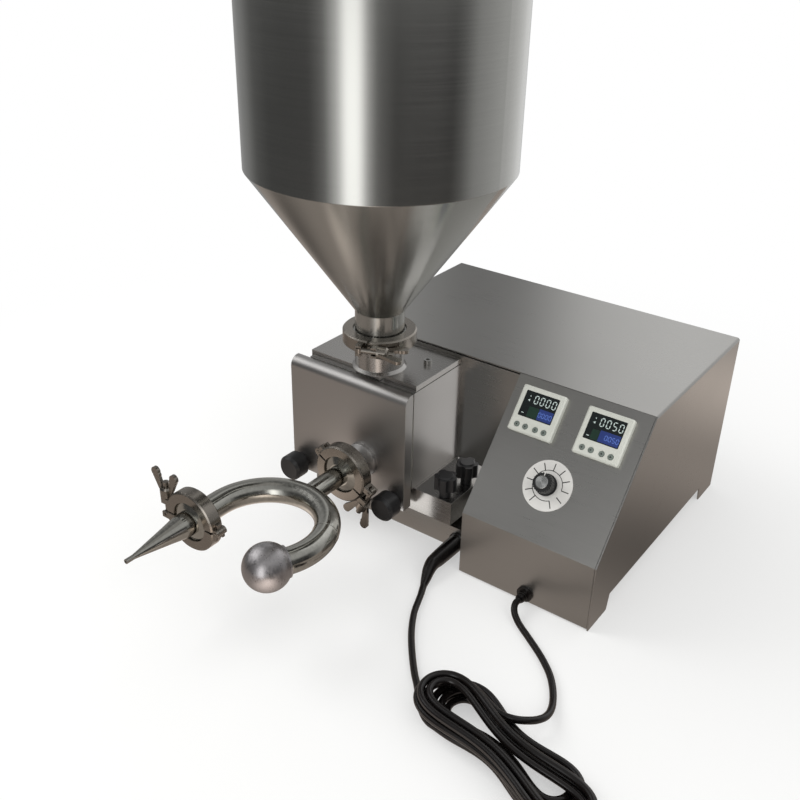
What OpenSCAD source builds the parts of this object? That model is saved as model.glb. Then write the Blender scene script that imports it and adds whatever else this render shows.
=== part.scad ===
// Table-top donut filler: a gear pump with a hopper above it, a forked outlet tube with one
// filling nozzle, and a cabinet with a sloped console that holds the motor and its controls.
// X runs to the right, Y to the back and Z up; the machine stands on Z = 0.

/* [Cabinet] */
// Width of the cabinet, console included
cab_w = 368; // [340:1:450]
// Depth of the cabinet behind its front panel
cab_d = 222; // [200:1:300]
// Height of the cabinet
cab_h = 193; // [180:1:235]
// Thickness of the stainless steel sheet
sheet = 1.5; // [1:0.1:2.5]
// Outer radius of the sheet's bends
bend_r = 3; // [2.6:0.1:6]
// Height of the open gap between the side sheets' feet
foot_h = 18; // [12:1:24]
// Length of each foot
foot_l = 39; // [25:1:60]
// Height of the floor plate that carries the pump and the motor
pan_z = 26; // [24:1:32]
// How far the floor plate reaches out in front of the front panel
pan_out = 67; // [60:1:75]
// Number of louvres in a column of the rear panel
louvres = 8; // [3:1:10]

/* [Console] */
// Width of the console
con_w = 148; // [136:1:170]
// How far the console stands out in front of the front panel
con_d = 98; // [85:1:120]
// Height of the console's upright lower front
con_low = 74.5; // [60:0.5:85]
// Width of the square counters' bezels
counter_w = 48; // [44:1:52]
// How far the bezels stand out of the console
bezel_h = 7; // [5:0.5:10]
// Distance between the centres of the two counters
counter_pitch = 71.7; // [60:0.1:76]
// Distance from the console's right edge to the right counter's centre
counter_in = 40.7; // [36:0.1:46]
// Distance down the slope to the counters' centres
counter_down = 34.5; // [32:0.5:40]
// Diameter of a counter's keys
key_d = 5.4; // [4:0.1:7]
// Travel of a key
key_travel = 0.6; // [0.3:0.1:1]
// Distance from the console's right edge to the dial's centre
dial_in = 75.4; // [60:0.1:90]
// Distance down the slope to the dial's centre
dial_down = 97.6; // [92:0.1:110]
// Radius of the dial plate
dial_r = 25.4; // [18:0.1:30]
// Diameter of the speed knob
knob_d = 22; // [16:0.5:30]
// Height of the speed knob
knob_h = 15; // [10:0.5:22]

/* [Pump] */
// Distance from the console's left side to the hopper's axis
pump_off = 131; // [120:1:150]
// Width of the pump housing
housing_w = 137; // [120:1:160]
// Depth of the pump housing
housing_d = 85; // [78:1:100]
// Height of the pump housing
housing_h = 114; // [104:1:130]
// Thickness of the housing's wall to the right of the rotors
housing_wall = 15; // [10:1:25]
// Thickness of the raised plate on the housing
plate_t = 7; // [5:0.5:10]
// Height of the pump base's top over the table
base_z = 66; // [60:1:75]
// Thickness of the pump base
base_t = 27.5; // [20:0.5:30]
// Width of the front cover
cover_w = 152; // [140:1:170]
// Thickness of the front cover
cover_t = 12.5; // [9:0.5:18]
// How far the front cover hangs below the housing
cover_drop = 20.5; // [16:0.5:26]
// Radius of the front cover's rounded top edge
cover_r = 10; // [3:0.5:12]
// Thickness of the silicone gaskets
gasket_t = 2; // [1:0.1:3]
// Radius of the pitch circle of each rotor
pitch_r = 20; // [18:0.5:24]
// Number of teeth on each rotor
teeth = 10; // [8:2:12]
// Width of the rotors
rotor_w = 44; // [30:1:50]
// Radius of the rotors' shafts
shaft_r = 7; // [5:0.5:8]
// Running clearance of the shafts in their bushes
run = 0.05; // [0.03:0.01:0.1]
// Gap between surfaces that pass or face each other without touching
gap = 0.3; // [0.2:0.05:0.5]

/* [Hopper] */
// Outer radius of the hopper's barrel
hopper_r = 129; // [100:1:150]
// Height of the barrel
barrel_h = 170; // [120:1:260]
// Height of the cone
cone_h = 146; // [110:1:200]
// Wall of the hopper
hopper_t = 1.5; // [1:0.1:2.5]
// Radius of the rolled rim's wire
rim_t = 3; // [2:0.5:5]
// Height of the hopper joint's parting plane over the raised plate
neck_h = 35; // [30:1:50]
// Outer radius of the hopper's neck
neck_r = 25.4; // [20:0.1:28]

/* [Outlet] */
// Distance from the console's left side to the outlet's axis
outlet_off = 126; // [120:1:140]
// Height of the outlet's axis
outlet_z = 90; // [86:1:95]
// Outer radius of the outlet tube
tube_r = 12.7; // [10:0.1:14]
// Wall of the outlet tube
tube_t = 1.5; // [1:0.1:2.5]
// Length of the spout on the front cover, to the parting plane
spout_l = 31.5; // [28:0.5:45]
// Length of the tube's stem, from the parting plane to the bend's middle
stem_l = 59; // [45:1:80]
// Outer radius of the stem
stem_r = 10.5; // [8:0.5:12]
// Radius of the tube's bend
fork_r = 60; // [50:1:75]
// Length of the left arm from the bend to its parting plane
arm_l = 33; // [24:1:60]
// Angle that the right arm bends through
right_turn = 116; // [95:1:125]
// Length of the nozzle in front of its parting plane
nozzle_l = 83; // [60:1:110]
// Outer radius of the nozzle's tip
tip_r = 2.4; // [2:0.1:4]
// Radius of the domed cap on the right arm
cap_r = 23; // [18:0.5:26]

/* [Clamps] */
// Radius of the small clamps' ferrules
ferrule_r = 25.25; // [23:0.05:30]
// Radius of the hopper clamp's ferrules
big_ferrule_r = 32; // [30:0.1:38]
// Thickness of a ferrule at its rim
ferrule_t = 2.85; // [2:0.05:4]
// Radial thickness of a clamp's ring outside the ferrules
clamp_t = 6; // [4:0.5:8]
// Radius of the clamps' bolts
bolt_r = 3; // [2:0.5:4]

/* [Cords] */
// Diameter of both cords
cord_d = 6.6; // [5:0.1:8]
// Sideways step from one turn of a hank to the next
hank_step = 7.6; // [7.5:0.1:9]
// Distance between the layers of a hank
hank_layer = 7.2; // [7.1:0.1:8.5]
// Length of the foot pedal
pedal_l = 88; // [70:1:120]
// Width of the foot pedal
pedal_w = 60; // [50:1:80]
// Height of the foot pedal
pedal_h = 28; // [26:1:40]

/* [Hidden] */
$fn = 64;

steel = "silver";
dark = "#222426";

// How far the rocker switch stands out of the rear panel
rear_out = 6;
// Everything in front of the front panel, in a row from the panel to the nozzle's tip
reach = housing_d + gasket_t + cover_t + spout_l + stem_l + fork_r + arm_l + nozzle_l;
rim_r = hopper_r + rim_t;
span_left = max(cab_w, con_w + pump_off + rim_r);
right_x = span_left / 2;
left_x = right_x - cab_w;
con_x = right_x - con_w;
front_y = (reach - cab_d - rear_out) / 2;
back_y = front_y + cab_d;
con_y = front_y - con_d;
pan_y = front_y - pan_out;
hopper_x = con_x - pump_off;
slope_a = atan2(cab_h - con_low, con_d);

// Pump places
rotor_z = base_z + 54;
rotor_x = hopper_x;
drive_x = rotor_x + pitch_r;
driven_x = rotor_x - pitch_r;
module_m = 2 * pitch_r / teeth;
tip_rotor_r = pitch_r + module_m;
cavity_r = tip_rotor_r + gap;
housing_x1 = drive_x + cavity_r + housing_wall;
housing_x0 = housing_x1 - housing_w;
housing_y0 = front_y - housing_d;
housing_z1 = base_z + housing_h;
cover_y0 = housing_y0 - gasket_t - cover_t;
cover_x0 = housing_x1 - cover_w;
cover_z0 = base_z - cover_drop;
plate_z1 = housing_z1 + plate_t;
hopper_y = housing_y0 + 20;
cavity_d = rotor_w + 2 * gap;
bush_r = shaft_r + 4;
bush_l = 14;
base_x0 = housing_x0 - 10;
base_x1 = con_x - 24;
stud_r = 4;
knob_z = cover_z0 + 10;
knob_in = 12.6;

// Outlet places
outlet_x = con_x - outlet_off;
outlet_y = cover_y0 - spout_l;
apex_y = outlet_y - stem_l;
bend_y = apex_y - fork_r;
arm_x = outlet_x - fork_r;
nozzle_y = bend_y - arm_l;
parting_z = plate_z1 + neck_h;
cone_z0 = parting_z + 28;
barrel_z0 = cone_z0 + cone_h;
rim_z = barrel_z0 + barrel_h;

// ------------------------------------------------------------------ helpers

// A rectangle with round corners, centred
module rounded(w, h, r) {
    square([w - 2 * r, h], center = true);
    square([w, h - 2 * r], center = true);
    for (x = [-1, 1], y = [-1, 1])
        translate([x * (w / 2 - r), y * (h / 2 - r)]) circle(r);
}

// A block between two corners
module block(a, b) {
    translate(a) cube(b - a);
}

// A cylinder along +Y from y0 to y1
module rod_y(x, y0, y1, z, r) {
    translate([x, y0, z]) rotate([-90, 0, 0]) cylinder(h = y1 - y0, r = r);
}

// Puts a shape drawn with X, Z as its plane and +Z as the way to the front at a place
module facing_front(x, y, z) {
    translate([x, y, z]) rotate([90, 0, 0]) children();
}

// A profile of (y, z) points, drawn out along X from x0 to x1
module along_x(x0, x1) {
    translate([x0, 0, 0]) rotate([90, 0, 90]) linear_extrude(x1 - x0) children();
}

// Puts a shape on the console's slope: X to the right, Y up the slope and Z out of it
module on_slope(x, down) {
    translate([x, front_y - down * cos(slope_a), cab_h - down * sin(slope_a)])
        rotate([slope_a, 0, 0]) children();
}

// A pan-head screw whose head stands on Z = 0
module screw(r = 3.4, h = 1.8, shank = 6) {
    difference() {
        union() {
            cylinder(h = h * 0.5, r = r);
            translate([0, 0, h * 0.5]) cylinder(h = h * 0.5, r1 = r, r2 = r * 0.7);
            translate([0, 0, -shank]) cylinder(h = shank, r = r * 0.5);
        }
        for (a = [0, 90])
            rotate(a) translate([-r * 0.55, -0.35, h * 0.5]) cube([r * 1.1, 0.7, h]);
    }
}

// ------------------------------------------------------------------ cabinet

// Outline of a side sheet: its feet at the bottom, seen from the right
module side_outline(y0) {
    difference() {
        translate([y0, 0]) square([back_y - y0, cab_h - bend_r]);
        hull() {
            translate([y0 + foot_l, -1]) square([back_y - y0 - 2 * foot_l, 1]);
            translate([y0 + foot_l + 4, foot_h - 1]) square([back_y - y0 - 2 * foot_l - 8, 1]);
        }
    }
}

module bent_sheet_profile() {
    difference() {
        translate([(left_x + right_x) / 2, cab_h / 2]) rounded(cab_w, cab_h, bend_r);
        translate([(left_x + right_x) / 2, cab_h / 2 - sheet])
            rounded(cab_w - 2 * sheet, cab_h, bend_r - sheet);
        translate([left_x - 1, -1]) square([cab_w + 2, cab_h - bend_r + 1]);
    }
}

module cabinet_shell() {
    color(steel) {
        translate([0, back_y, 0]) rotate([90, 0, 0]) linear_extrude(cab_d) bent_sheet_profile();
        along_x(left_x, left_x + sheet) side_outline(front_y);
        along_x(right_x - sheet, right_x) {
            difference() {
                side_outline(con_y);
                translate([con_y - 1, con_low]) square([con_d + 1, cab_h]);
            }
            polygon([[con_y, con_low], [front_y, cab_h], [front_y, con_low]]);
        }
        // Folded lips that the rear panel is screwed to
        difference() {
            for (x = [left_x + sheet, right_x - sheet - 12])
                block([x, back_y - 2 * sheet - gap, foot_h + 14],
                      [x + 12, back_y - sheet - gap, cab_h - bend_r]);
            for (p = rear_screws) rod_y(p[0], back_y - 3 * sheet, back_y, p[1], 2);
        }
    }
}

module front_panel() {
    color(steel) difference() {
        union() {
            block([left_x + sheet + gap, front_y, pan_z], [panel_x1, front_y + sheet, cab_h - bend_r]);
            block([left_x + sheet + gap, front_y, pan_z], [panel_x1, front_y + 12, pan_z + sheet]);
        }
        rod_y(drive_x, front_y - 1, front_y + 3, rotor_z, shaft_r + 4);
        rod_y(driven_x, front_y - 1, front_y + 3, rotor_z, shaft_r + 4);
    }
}

// The bent sheet of the console: its slope, its upright lower front and its left cheek
module console_panel() {
    y1 = front_y - gap;
    top = cab_h - gap * tan(slope_a);
    low = 2;
    color(steel) difference() {
        union() {
            along_x(con_x, right_x - sheet - gap) polygon([
                [con_y, low], [con_y, con_low], [y1, top], [y1, top - sheet / cos(slope_a)],
                [con_y + sheet, con_low - sheet * (1 - sin(slope_a)) / cos(slope_a)],
                [con_y + sheet, low]]);
            along_x(con_x, con_x + sheet)
                polygon([[con_y, low], [con_y, con_low], [y1, top], [y1, low]]);
        }
        for (x = counter_xs)
            on_slope(x, counter_down) cube([case_w + 2 * gap, case_w + 2 * gap, 3 * sheet], center = true);
        on_slope(dial_x, dial_down) cylinder(h = 4 * sheet, r = pot_bush_r + gap, center = true);
        rod_y(power_x, con_y - 1, con_y + 3, gland_z, gland_r + gap);
    }
}

module louvre(w) {
    rotate([90, 0, 90]) linear_extrude(w, center = true)
        polygon([[-0.2, 0], [3.4, 0], [3.4, 0.9], [0.8, 5.4], [-0.2, 5.4]]);
}

module rear_panel() {
    y0 = back_y - sheet;
    pitch = (cab_h - 92) / louvres;
    color(steel) difference() {
        union() {
            translate([(left_x + right_x) / 2, back_y, (foot_h + 8 + cab_h - sheet - gap) / 2]) rotate([90, 0, 0])
                linear_extrude(sheet)
                    rounded(cab_w - 2 * (sheet + gap), cab_h - sheet - gap - foot_h - 8, bend_r - sheet + gap);
            for (x = [left_x + cab_w * 0.3, left_x + cab_w * 0.58], k = [0:louvres - 1])
                translate([x, back_y, 62 + k * pitch]) louvre(64);
        }
        for (x = [left_x + cab_w * 0.3, left_x + cab_w * 0.58], k = [0:louvres - 1])
            translate([x, y0 - 1, 61.4 + k * pitch]) translate([-30, 0, 0]) cube([60, sheet + 3.4, 2.4]);
        translate([rocker_x, y0 - 1, rocker_z]) translate([-9.8, 0, -14.3]) cube([19.6, 4, 28.6]);
        for (p = rear_screws) rod_y(p[0], y0 - 1, back_y + 1, p[1], 2);
    }
}

// The floor: it stands out in front of the front panel as a low plinth under the pump
module base_pan() {
    x0 = left_x + sheet + gap;
    x1 = right_x - sheet - gap;
    t = sheet;
    color(steel) difference() {
        union() {
            block([x0, front_y, pan_z - t], [x1, back_y - 2 * sheet - 2 * gap, pan_z]);
            block([left_x, pan_y, pan_z - t], [con_x - gap, front_y, pan_z]);
            block([con_x + sheet + gap, con_y + sheet + gap, pan_z - t], [x1, front_y, pan_z]);
            block([left_x, pan_y, 0], [con_x - gap, pan_y + t, pan_z]);
            block([left_x, pan_y, 0], [left_x + t, front_y - gap, pan_z]);
            block([con_x - gap - t, pan_y, 0], [con_x - gap, front_y, pan_z]);
            block([x0 + 20, back_y - 2 * sheet - 2 * gap - t, 0],
                  [x1 - 20, back_y - 2 * sheet - 2 * gap, pan_z]);
        }
        rod_y(pedal_x, pan_y - 1, pan_y + 3, gland_z, gland_r + gap);
    }
}

rear_screws = [
    for (x = [left_x + 8, right_x - 8], z = [foot_h + 22, cab_h / 2, cab_h - 14]) [x, z]];

module panel_screws() {
    color("gainsboro") {
        for (p = rear_screws)
            translate([p[0], back_y, p[1]]) rotate([-90, 0, 0]) screw(shank = 4);
        // The raised plate's bolts
        for (x = plate_bolt_xs)
            translate([x, front_y - 33, plate_z1]) difference() {
                union() {
                    translate([0, 0, -plate_t - 8]) cylinder(h = plate_t + 8, r = 2.5);
                    cylinder(h = 5, r = 4.25);
                }
                translate([0, 0, 2.4]) cylinder(h = 3, r = 2.3, $fn = 6);
            }
    }
}

plate_bolt_xs = [housing_x0 + 24, housing_x1 - 20.6];

// ------------------------------------------------------------------ console

counter_xs = [right_x - counter_in - counter_pitch, right_x - counter_in];
case_w = counter_w - 3;
case_l = 68;
dial_x = right_x - dial_in;
pot_bush_r = 5;
key_xs = [-15, -5.6, 5.6, 15];
key_y = -counter_w / 2 + 7;
// The front panel ends short of the left counter's case
panel_x1 = min(con_x + 12, counter_xs[0] - case_w / 2 - 2);

module counter(x) {
    color("whitesmoke") on_slope(x, counter_down) difference() {
        union() {
            linear_extrude(bezel_h - 1.5) rounded(counter_w, counter_w, 2);
            hull() {
                translate([0, 0, bezel_h - 1.5]) linear_extrude(0.1) rounded(counter_w, counter_w, 2);
                translate([0, 0, bezel_h - 0.1]) linear_extrude(0.1)
                    rounded(counter_w - 3, counter_w - 3, 1.5);
            }
            translate([-case_w / 2, -case_w / 2, -case_l]) cube([case_w, case_w, case_l]);
        }
        // The case is hollow behind its front wall
        translate([-case_w / 2 + 1.5, -case_w / 2 + 1.5, -case_l + 1.5])
            cube([case_w - 3, case_w - 3, case_l + bezel_h - 4]);
        // Window recess and key holes
        translate([0, 5.5, bezel_h]) linear_extrude(3, center = true) rounded(window_w, window_h, 1);
        for (k = key_xs) translate([k, key_y, 0]) cylinder(h = bezel_h + 1, r = key_d / 2 + gap);
    }
}

window_w = 37;
window_h = 27;

module counter_left() {
    counter(counter_xs[0]);
}

module counter_right() {
    counter(counter_xs[1]);
}

module counter_windows() {
    color("#101820") for (x = counter_xs) on_slope(x, counter_down)
        translate([0, 5.5, bezel_h - 1.5]) linear_extrude(1)
            rounded(window_w - 0.2, window_h - 0.2, 0.9);
}

// A key: its cap stands in the bezel's hole, and its flange lies behind the front wall
module counter_key(side, k) {
    color("#7f8c80") on_slope(counter_xs[side], counter_down) translate([key_xs[k], key_y, 0]) {
        translate([0, 0, bezel_h - 2.5 - 0.1 - 1]) cylinder(h = 1, r = key_d / 2 + 1);
        translate([0, 0, bezel_h - 3.6]) cylinder(h = 3.4 + key_travel, r = key_d / 2);
        translate([0, 0, bezel_h - 0.2 + key_travel]) cylinder(h = 0.5, r1 = key_d / 2, r2 = key_d / 2 - 0.8);
    }
}

module key_left_1() { counter_key(0, 0); }
module key_left_2() { counter_key(0, 1); }
module key_left_3() { counter_key(0, 2); }
module key_left_4() { counter_key(0, 3); }
module key_right_1() { counter_key(1, 0); }
module key_right_2() { counter_key(1, 1); }
module key_right_3() { counter_key(1, 2); }
module key_right_4() { counter_key(1, 3); }

module dial_plate() {
    color("white") on_slope(dial_x, dial_down) difference() {
        cylinder(h = 1, r = dial_r);
        translate([0, 0, -1]) cylinder(h = 3, r = pot_bush_r + gap);
    }
}

module speed_pot() {
    color("darkgray") on_slope(dial_x, dial_down) difference() {
        union() {
            translate([0, 0, -sheet - 12]) cylinder(h = 12 - gap / 3, r = 12);
            translate([0, 0, -sheet - 1]) cylinder(h = sheet + 4.5, r = pot_bush_r);
            translate([0, 0, 1.2]) cylinder(h = 1.6, r = 7.5, $fn = 6);
        }
        translate([0, 0, -sheet - 9]) cylinder(h = 30, r = 3 + run);
    }
}

// Ribbed knob on its spindle, with a bright cap let into its top
module speed_knob() {
    ribs = 24;
    on_slope(dial_x, dial_down) {
        color(dark) difference() {
            union() {
                translate([0, 0, 4]) cylinder(h = 1.6, r = knob_d / 2);
                translate([0, 0, 5.6]) cylinder(h = knob_h - 5.6 + 3, r1 = knob_d / 2 - 1, r2 = knob_d / 2 - 2);
                for (a = [0:360 / ribs:359]) rotate(a)
                    translate([knob_d / 2 - 1.9, 0, 5.6]) cylinder(h = knob_h - 4, r = 0.8, $fn = 16);
            }
            translate([0, 0, knob_h + 1.5]) cylinder(h = 3, r = knob_d / 2 - 4.5);
            translate([0, 0, 3]) cylinder(h = knob_h - 4, r = 3);
            translate([0, 0, 3.5]) cylinder(h = 2.5, r = 8.8);
        }
        color("gainsboro") translate([0, 0, knob_h + 1.5]) cylinder(h = 1.8, r = knob_d / 2 - 4.6);
        color("silver") translate([0, 0, -sheet - 8]) cylinder(h = sheet + 7 + knob_h, r = 3);
    }
}

// ------------------------------------------------------------------ rear switch

rocker_x = right_x - 46;
rocker_z = 46;

module rocker_frame() {
    color(dark) translate([rocker_x, back_y, rocker_z]) difference() {
        union() {
            translate([-11.5, 0, -15.5]) cube([23, 2, 31]);
            translate([-9.5, -18, -14]) cube([19, 18, 28]);
        }
        translate([-7.5, -12, -11.5]) cube([15, 15, 23]);
    }
    // Pins that the rocker tips on
    color(dark) for (s = [-1, 1]) translate([rocker_x + s * 6.6, back_y - 4, rocker_z])
        rotate([0, 90, 0]) cylinder(h = 3, r = 1.6, center = true);
}

rocker_r = 11;

// The rocker tips about the frame's pins, across its middle
module rocker_switch() {
    color("firebrick") translate([rocker_x, back_y - 4, rocker_z]) rotate([90, 0, 90]) difference() {
        linear_extrude(14, center = true) polygon([
            [-6, -3], [-6, 3], [4, rocker_r - 1], [7.2, rocker_r - 0.6],
            [4.6, 0], [rear_out + 4, -rocker_r + 1.4], [4, -rocker_r + 0.4]]);
        cylinder(h = 20, r = 1.8, center = true);
    }
}

// ------------------------------------------------------------------ inside

board_x = right_x - 74;
board_y = back_y - 78;

module control_board() {
    z = pan_z + 8;
    translate([board_x, board_y, 0]) {
        color("darkgreen") translate([-60, -45, z]) cube([120, 90, 1.6]);
        color("gainsboro") for (x = [-55, 55], y = [-40, 40])
            translate([x, y, pan_z]) cylinder(h = z - pan_z, r = 3.5);
        // Transformer, terminal strip, capacitors and a finned heat sink
        color("goldenrod") translate([-52, -20, z + 1.6]) cube([38, 44, 30]);
        color("seagreen") translate([-40, 30, z + 1.6]) cube([72, 10, 12]);
        color("#303438") for (x = [0, 16]) translate([x, -26, z + 1.6]) cylinder(h = 22, r = 6.5);
        color("dimgray") {
            translate([34, -38, z + 1.6]) cube([3, 62, 34]);
            for (k = [0:6]) translate([37, -38 + k * 9.8, z + 1.6]) cube([14, 2.4, 34]);
        }
    }
}

gearbox_w = 80;
gearbox_y = front_y + 56;
gearbox_l = 52;
motor_l = 88;

module gearmotor() {
    color("slategray") {
        facing_front(drive_x, gearbox_y + gearbox_l, rotor_z)
            linear_extrude(gearbox_l) rounded(gearbox_w, gearbox_w, 8);
        rod_y(drive_x, gearbox_y + gearbox_l, gearbox_y + gearbox_l + motor_l, rotor_z, gearbox_w / 2 - 3);
        rod_y(drive_x, gearbox_y + gearbox_l + motor_l, gearbox_y + gearbox_l + motor_l + 6, rotor_z, 30);
        translate([drive_x - 16, gearbox_y + gearbox_l + 20, rotor_z + gearbox_w / 2 - 6]) cube([32, 40, 18]);
    }
    color("silver") rod_y(drive_x, gearbox_y - 22, gearbox_y, rotor_z, 5);
}

// Upright bracket between the floor and the gearbox's face
module motor_bracket() {
    y0 = gearbox_y - 4;
    color(steel) difference() {
        union() {
            block([drive_x - 46, y0, pan_z], [drive_x + 46, y0 + 4, rotor_z + 34]);
            block([drive_x - 46, y0 - 30, pan_z], [drive_x + 46, y0, pan_z + 4]);
            for (x = [drive_x - 46, drive_x + 42])
                along_x(x, x + 4) polygon([[y0 - 28, pan_z], [y0, pan_z], [y0, rotor_z]]);
        }
        rod_y(drive_x, y0 - 1, y0 + 5, rotor_z, 16);
    }
}

// Two jaw hubs with a spider between them
module coupling() {
    y0 = gearbox_y - 22 - 12;
    color("gainsboro") difference() {
        union() {
            rod_y(drive_x, y0, y0 + 13, rotor_z, 15);
            rod_y(drive_x, y0 + 17, y0 + 30, rotor_z, 15);
            translate([drive_x, y0 + 13, rotor_z]) rotate([-90, 0, 0])
                for (a = [0:60:300]) rotate(a) translate([11, 0, 0]) cylinder(h = 4, r = 3.4);
        }
        rod_y(drive_x, y0 - 1, y0 + 15, rotor_z, shaft_r + run);
        rod_y(drive_x, y0 + 14, y0 + 31, rotor_z, 5 + run);
    }
}

module drive_shaft() {
    color("gainsboro") rod_y(drive_x, housing_y0 + gap, gearbox_y - 24, rotor_z, shaft_r);
}

// ------------------------------------------------------------------ pump

// Flanks of a tooth as (radius, half-width angle) pairs, narrower than the space they run in
module rotor_profile() {
    step = 360 / teeth;
    root = pitch_r - 1.25 * module_m;
    rings = [
        [root, 0.34], [pitch_r - 0.62 * module_m, 0.275], [pitch_r, 0.225],
        [pitch_r + 0.62 * module_m, 0.15], [tip_rotor_r, 0.075]];
    circle(root + 0.4);
    for (k = [0:teeth - 1]) rotate(k * step) polygon(concat(
        [[0, 0]],
        [for (p = rings) p[0] * [cos(p[1] * step), -sin(p[1] * step)]],
        [for (i = [4:-1:0]) rings[i][0] * [cos(rings[i][1] * step), sin(rings[i][1] * step)]]));
}

module rotor(x, turn) {
    translate([x, housing_y0 + gap + rotor_w, rotor_z]) rotate([90, 0, 0]) rotate(turn)
        linear_extrude(rotor_w) rotor_profile();
}

module drive_rotor() {
    color("gainsboro") difference() {
        rotor(drive_x, 0);
        rod_y(drive_x, housing_y0, front_y, rotor_z, shaft_r + run);
    }
}

// The driven rotor is one piece with its stub shaft
module driven_rotor() {
    color("gainsboro") {
        rotor(driven_x, 180 / teeth);
        rod_y(driven_x, housing_y0 + gap + 1, front_y - 8, rotor_z, shaft_r);
    }
}

bush_y = front_y - bush_l - 22;

module shaft_bearings() {
    color("peru") for (x = [drive_x, driven_x]) difference() {
        rod_y(x, bush_y, bush_y + bush_l, rotor_z, bush_r - gap / 10);
        rod_y(x, bush_y - 1, bush_y + bush_l + 1, rotor_z, shaft_r + run);
    }
}

// Silicone rings: the cover's gasket, the lip seals round the shafts and the ferrules' gaskets
module seals() {
    color("ivory") {
        facing_front(0, housing_y0, 0) linear_extrude(gasket_t) difference() {
            translate([(housing_x0 + housing_x1) / 2, (base_z + housing_z1) / 2])
                rounded(housing_w - 4, housing_h - 6, 5);
            translate([(housing_x0 + housing_x1) / 2, (base_z + housing_z1) / 2])
                rounded(housing_w - 12, housing_h - 14, 3);
        }
        for (x = [drive_x]) difference() {
            rod_y(x, front_y - 16, front_y - 8, rotor_z, bush_r - gap / 10);
            rod_y(x, front_y - 17, front_y - 7, rotor_z, shaft_r + run);
        }
        translate([hopper_x, hopper_y, parting_z]) gasket(neck_r);
        translate([outlet_x, outlet_y, outlet_z]) rotate([90, 0, 0]) gasket(tube_r);
        translate([arm_x, nozzle_y, outlet_z]) rotate([90, 0, 0]) gasket(tube_r);
    }
}

module gasket(tube) {
    difference() {
        cylinder(h = gasket_t, r = tube + 4, center = true);
        cylinder(h = 2 * gasket_t, r = tube - tube_t, center = true);
    }
}

module pump_housing() {
    y1 = housing_y0 + cavity_d;
    color(steel) difference() {
        block([housing_x0, housing_y0, base_z], [housing_x1, front_y, housing_z1]);
        for (x = [drive_x, driven_x]) {
            rod_y(x, housing_y0 - 1, y1, rotor_z, cavity_r);
            rod_y(x, y1 - 1, front_y - 30, rotor_z, shaft_r + 2);
            rod_y(x, bush_y, front_y - (x == drive_x ? 8 : 6), rotor_z, bush_r);
        }
        rod_y(drive_x, front_y - 9, front_y + 1, rotor_z, shaft_r + 1);
        // Inlet from the hopper, down to the rotors
        translate([hopper_x, hopper_y, rotor_z]) cylinder(h = housing_h, r = inlet_r);
        // Outlet pocket under the rotors
        block([outlet_x - tube_r + tube_t, housing_y0 - 1, outlet_z], [outlet_x + tube_r - tube_t, y1 - 8, rotor_z]);
        rod_y(outlet_x, housing_y0 - 1, y1 - 8, outlet_z, tube_r - tube_t);
        for (x = plate_bolt_xs)
            translate([x, front_y - 33, housing_z1 - 9]) cylinder(h = 10, r = 2.5 + run);
    }
}

inlet_r = 18;
funnel_h = 8;

// Outline of the front cover seen from the side: its top front edge is rounded
module cover_profile() {
    y1 = cover_y0 + cover_t;
    difference() {
        translate([cover_y0, cover_z0]) square([cover_t, housing_z1 - cover_z0]);
        difference() {
            translate([cover_y0 - 1, housing_z1 - cover_r]) square([cover_r + 1, cover_r + 1]);
            translate([cover_y0 + cover_r, housing_z1 - cover_r]) circle(cover_r);
        }
    }
}

module front_cover() {
    color(steel) difference() {
        union() {
            along_x(cover_x0, housing_x1) cover_profile();
            // Boss, spout and its ferrule
            facing_front(outlet_x, cover_y0, outlet_z) {
                cylinder(h = 4, r = 19);
                translate([0, 0, 4]) cylinder(h = 4, r1 = 19, r2 = tube_r + 1);
                cylinder(h = spout_l - gasket_t / 2, r = tube_r);
                translate([0, 0, spout_l - gasket_t / 2]) mirror([0, 0, 1]) flange(ferrule_r, tube_r);
            }
        }
        rod_y(outlet_x, outlet_y - 5, cover_y0 + cover_t + 1, outlet_z, tube_r - tube_t);
        for (x = cover_knob_xs) rod_y(x, cover_y0 - 1, cover_y0 + cover_t + 1, knob_z, stud_r + 0.5);
    }
}

cover_knob_xs = [cover_x0 + knob_in, housing_x1 - knob_in];

// A ferrule's flange with its face on Z = 0 and its tapered back towards +Z
module flange(r, tube) {
    rotate_extrude() polygon([
        [tube - 0.5, 0], [r, 0], [r, ferrule_t],
        [tube + 1.5, ferrule_t + (r - tube - 1.5) * tan(20)],
        [tube - 0.5, ferrule_t + (r - tube - 1.5) * tan(20)]]);
}

module top_plate() {
    color(steel) difference() {
        union() {
            difference() {
                block([housing_x0, housing_y0 + 3, housing_z1], [housing_x1, front_y - gap, plate_z1]);
                translate([housing_x1 - 1.4, housing_y0 - 1, housing_z1 - 1]) cube([2, housing_d, 2.2]);
            }
            // The neck's foot, flush with the front of the housing
            intersection() {
                translate([hopper_x, hopper_y, housing_z1]) cylinder(h = plate_t, r = neck_r);
                block([housing_x0, housing_y0, housing_z1], [housing_x1, front_y - gap, plate_z1]);
            }
            translate([hopper_x, hopper_y, plate_z1]) {
                cylinder(h = 3, r1 = neck_r + 3, r2 = neck_r);
                cylinder(h = neck_h - gasket_t / 2, r = neck_r);
                translate([0, 0, neck_h - gasket_t / 2]) mirror([0, 0, 1]) flange(big_ferrule_r, neck_r);
            }
        }
        // Inlet: it narrows from the neck's bore to the housing's
        translate([hopper_x, hopper_y, 0]) rotate_extrude() polygon([
            [0, housing_z1 - 1], [inlet_r, housing_z1 - 1], [inlet_r, plate_z1],
            [neck_r - 2 * tube_t, plate_z1 + funnel_h], [neck_r - 2 * tube_t, parting_z + 1], [0, parting_z + 1]]);
        for (x = plate_bolt_xs)
            translate([x, front_y - 33, housing_z1 - 1]) cylinder(h = plate_t + 2, r = 2.5 + run);
    }
}

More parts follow.
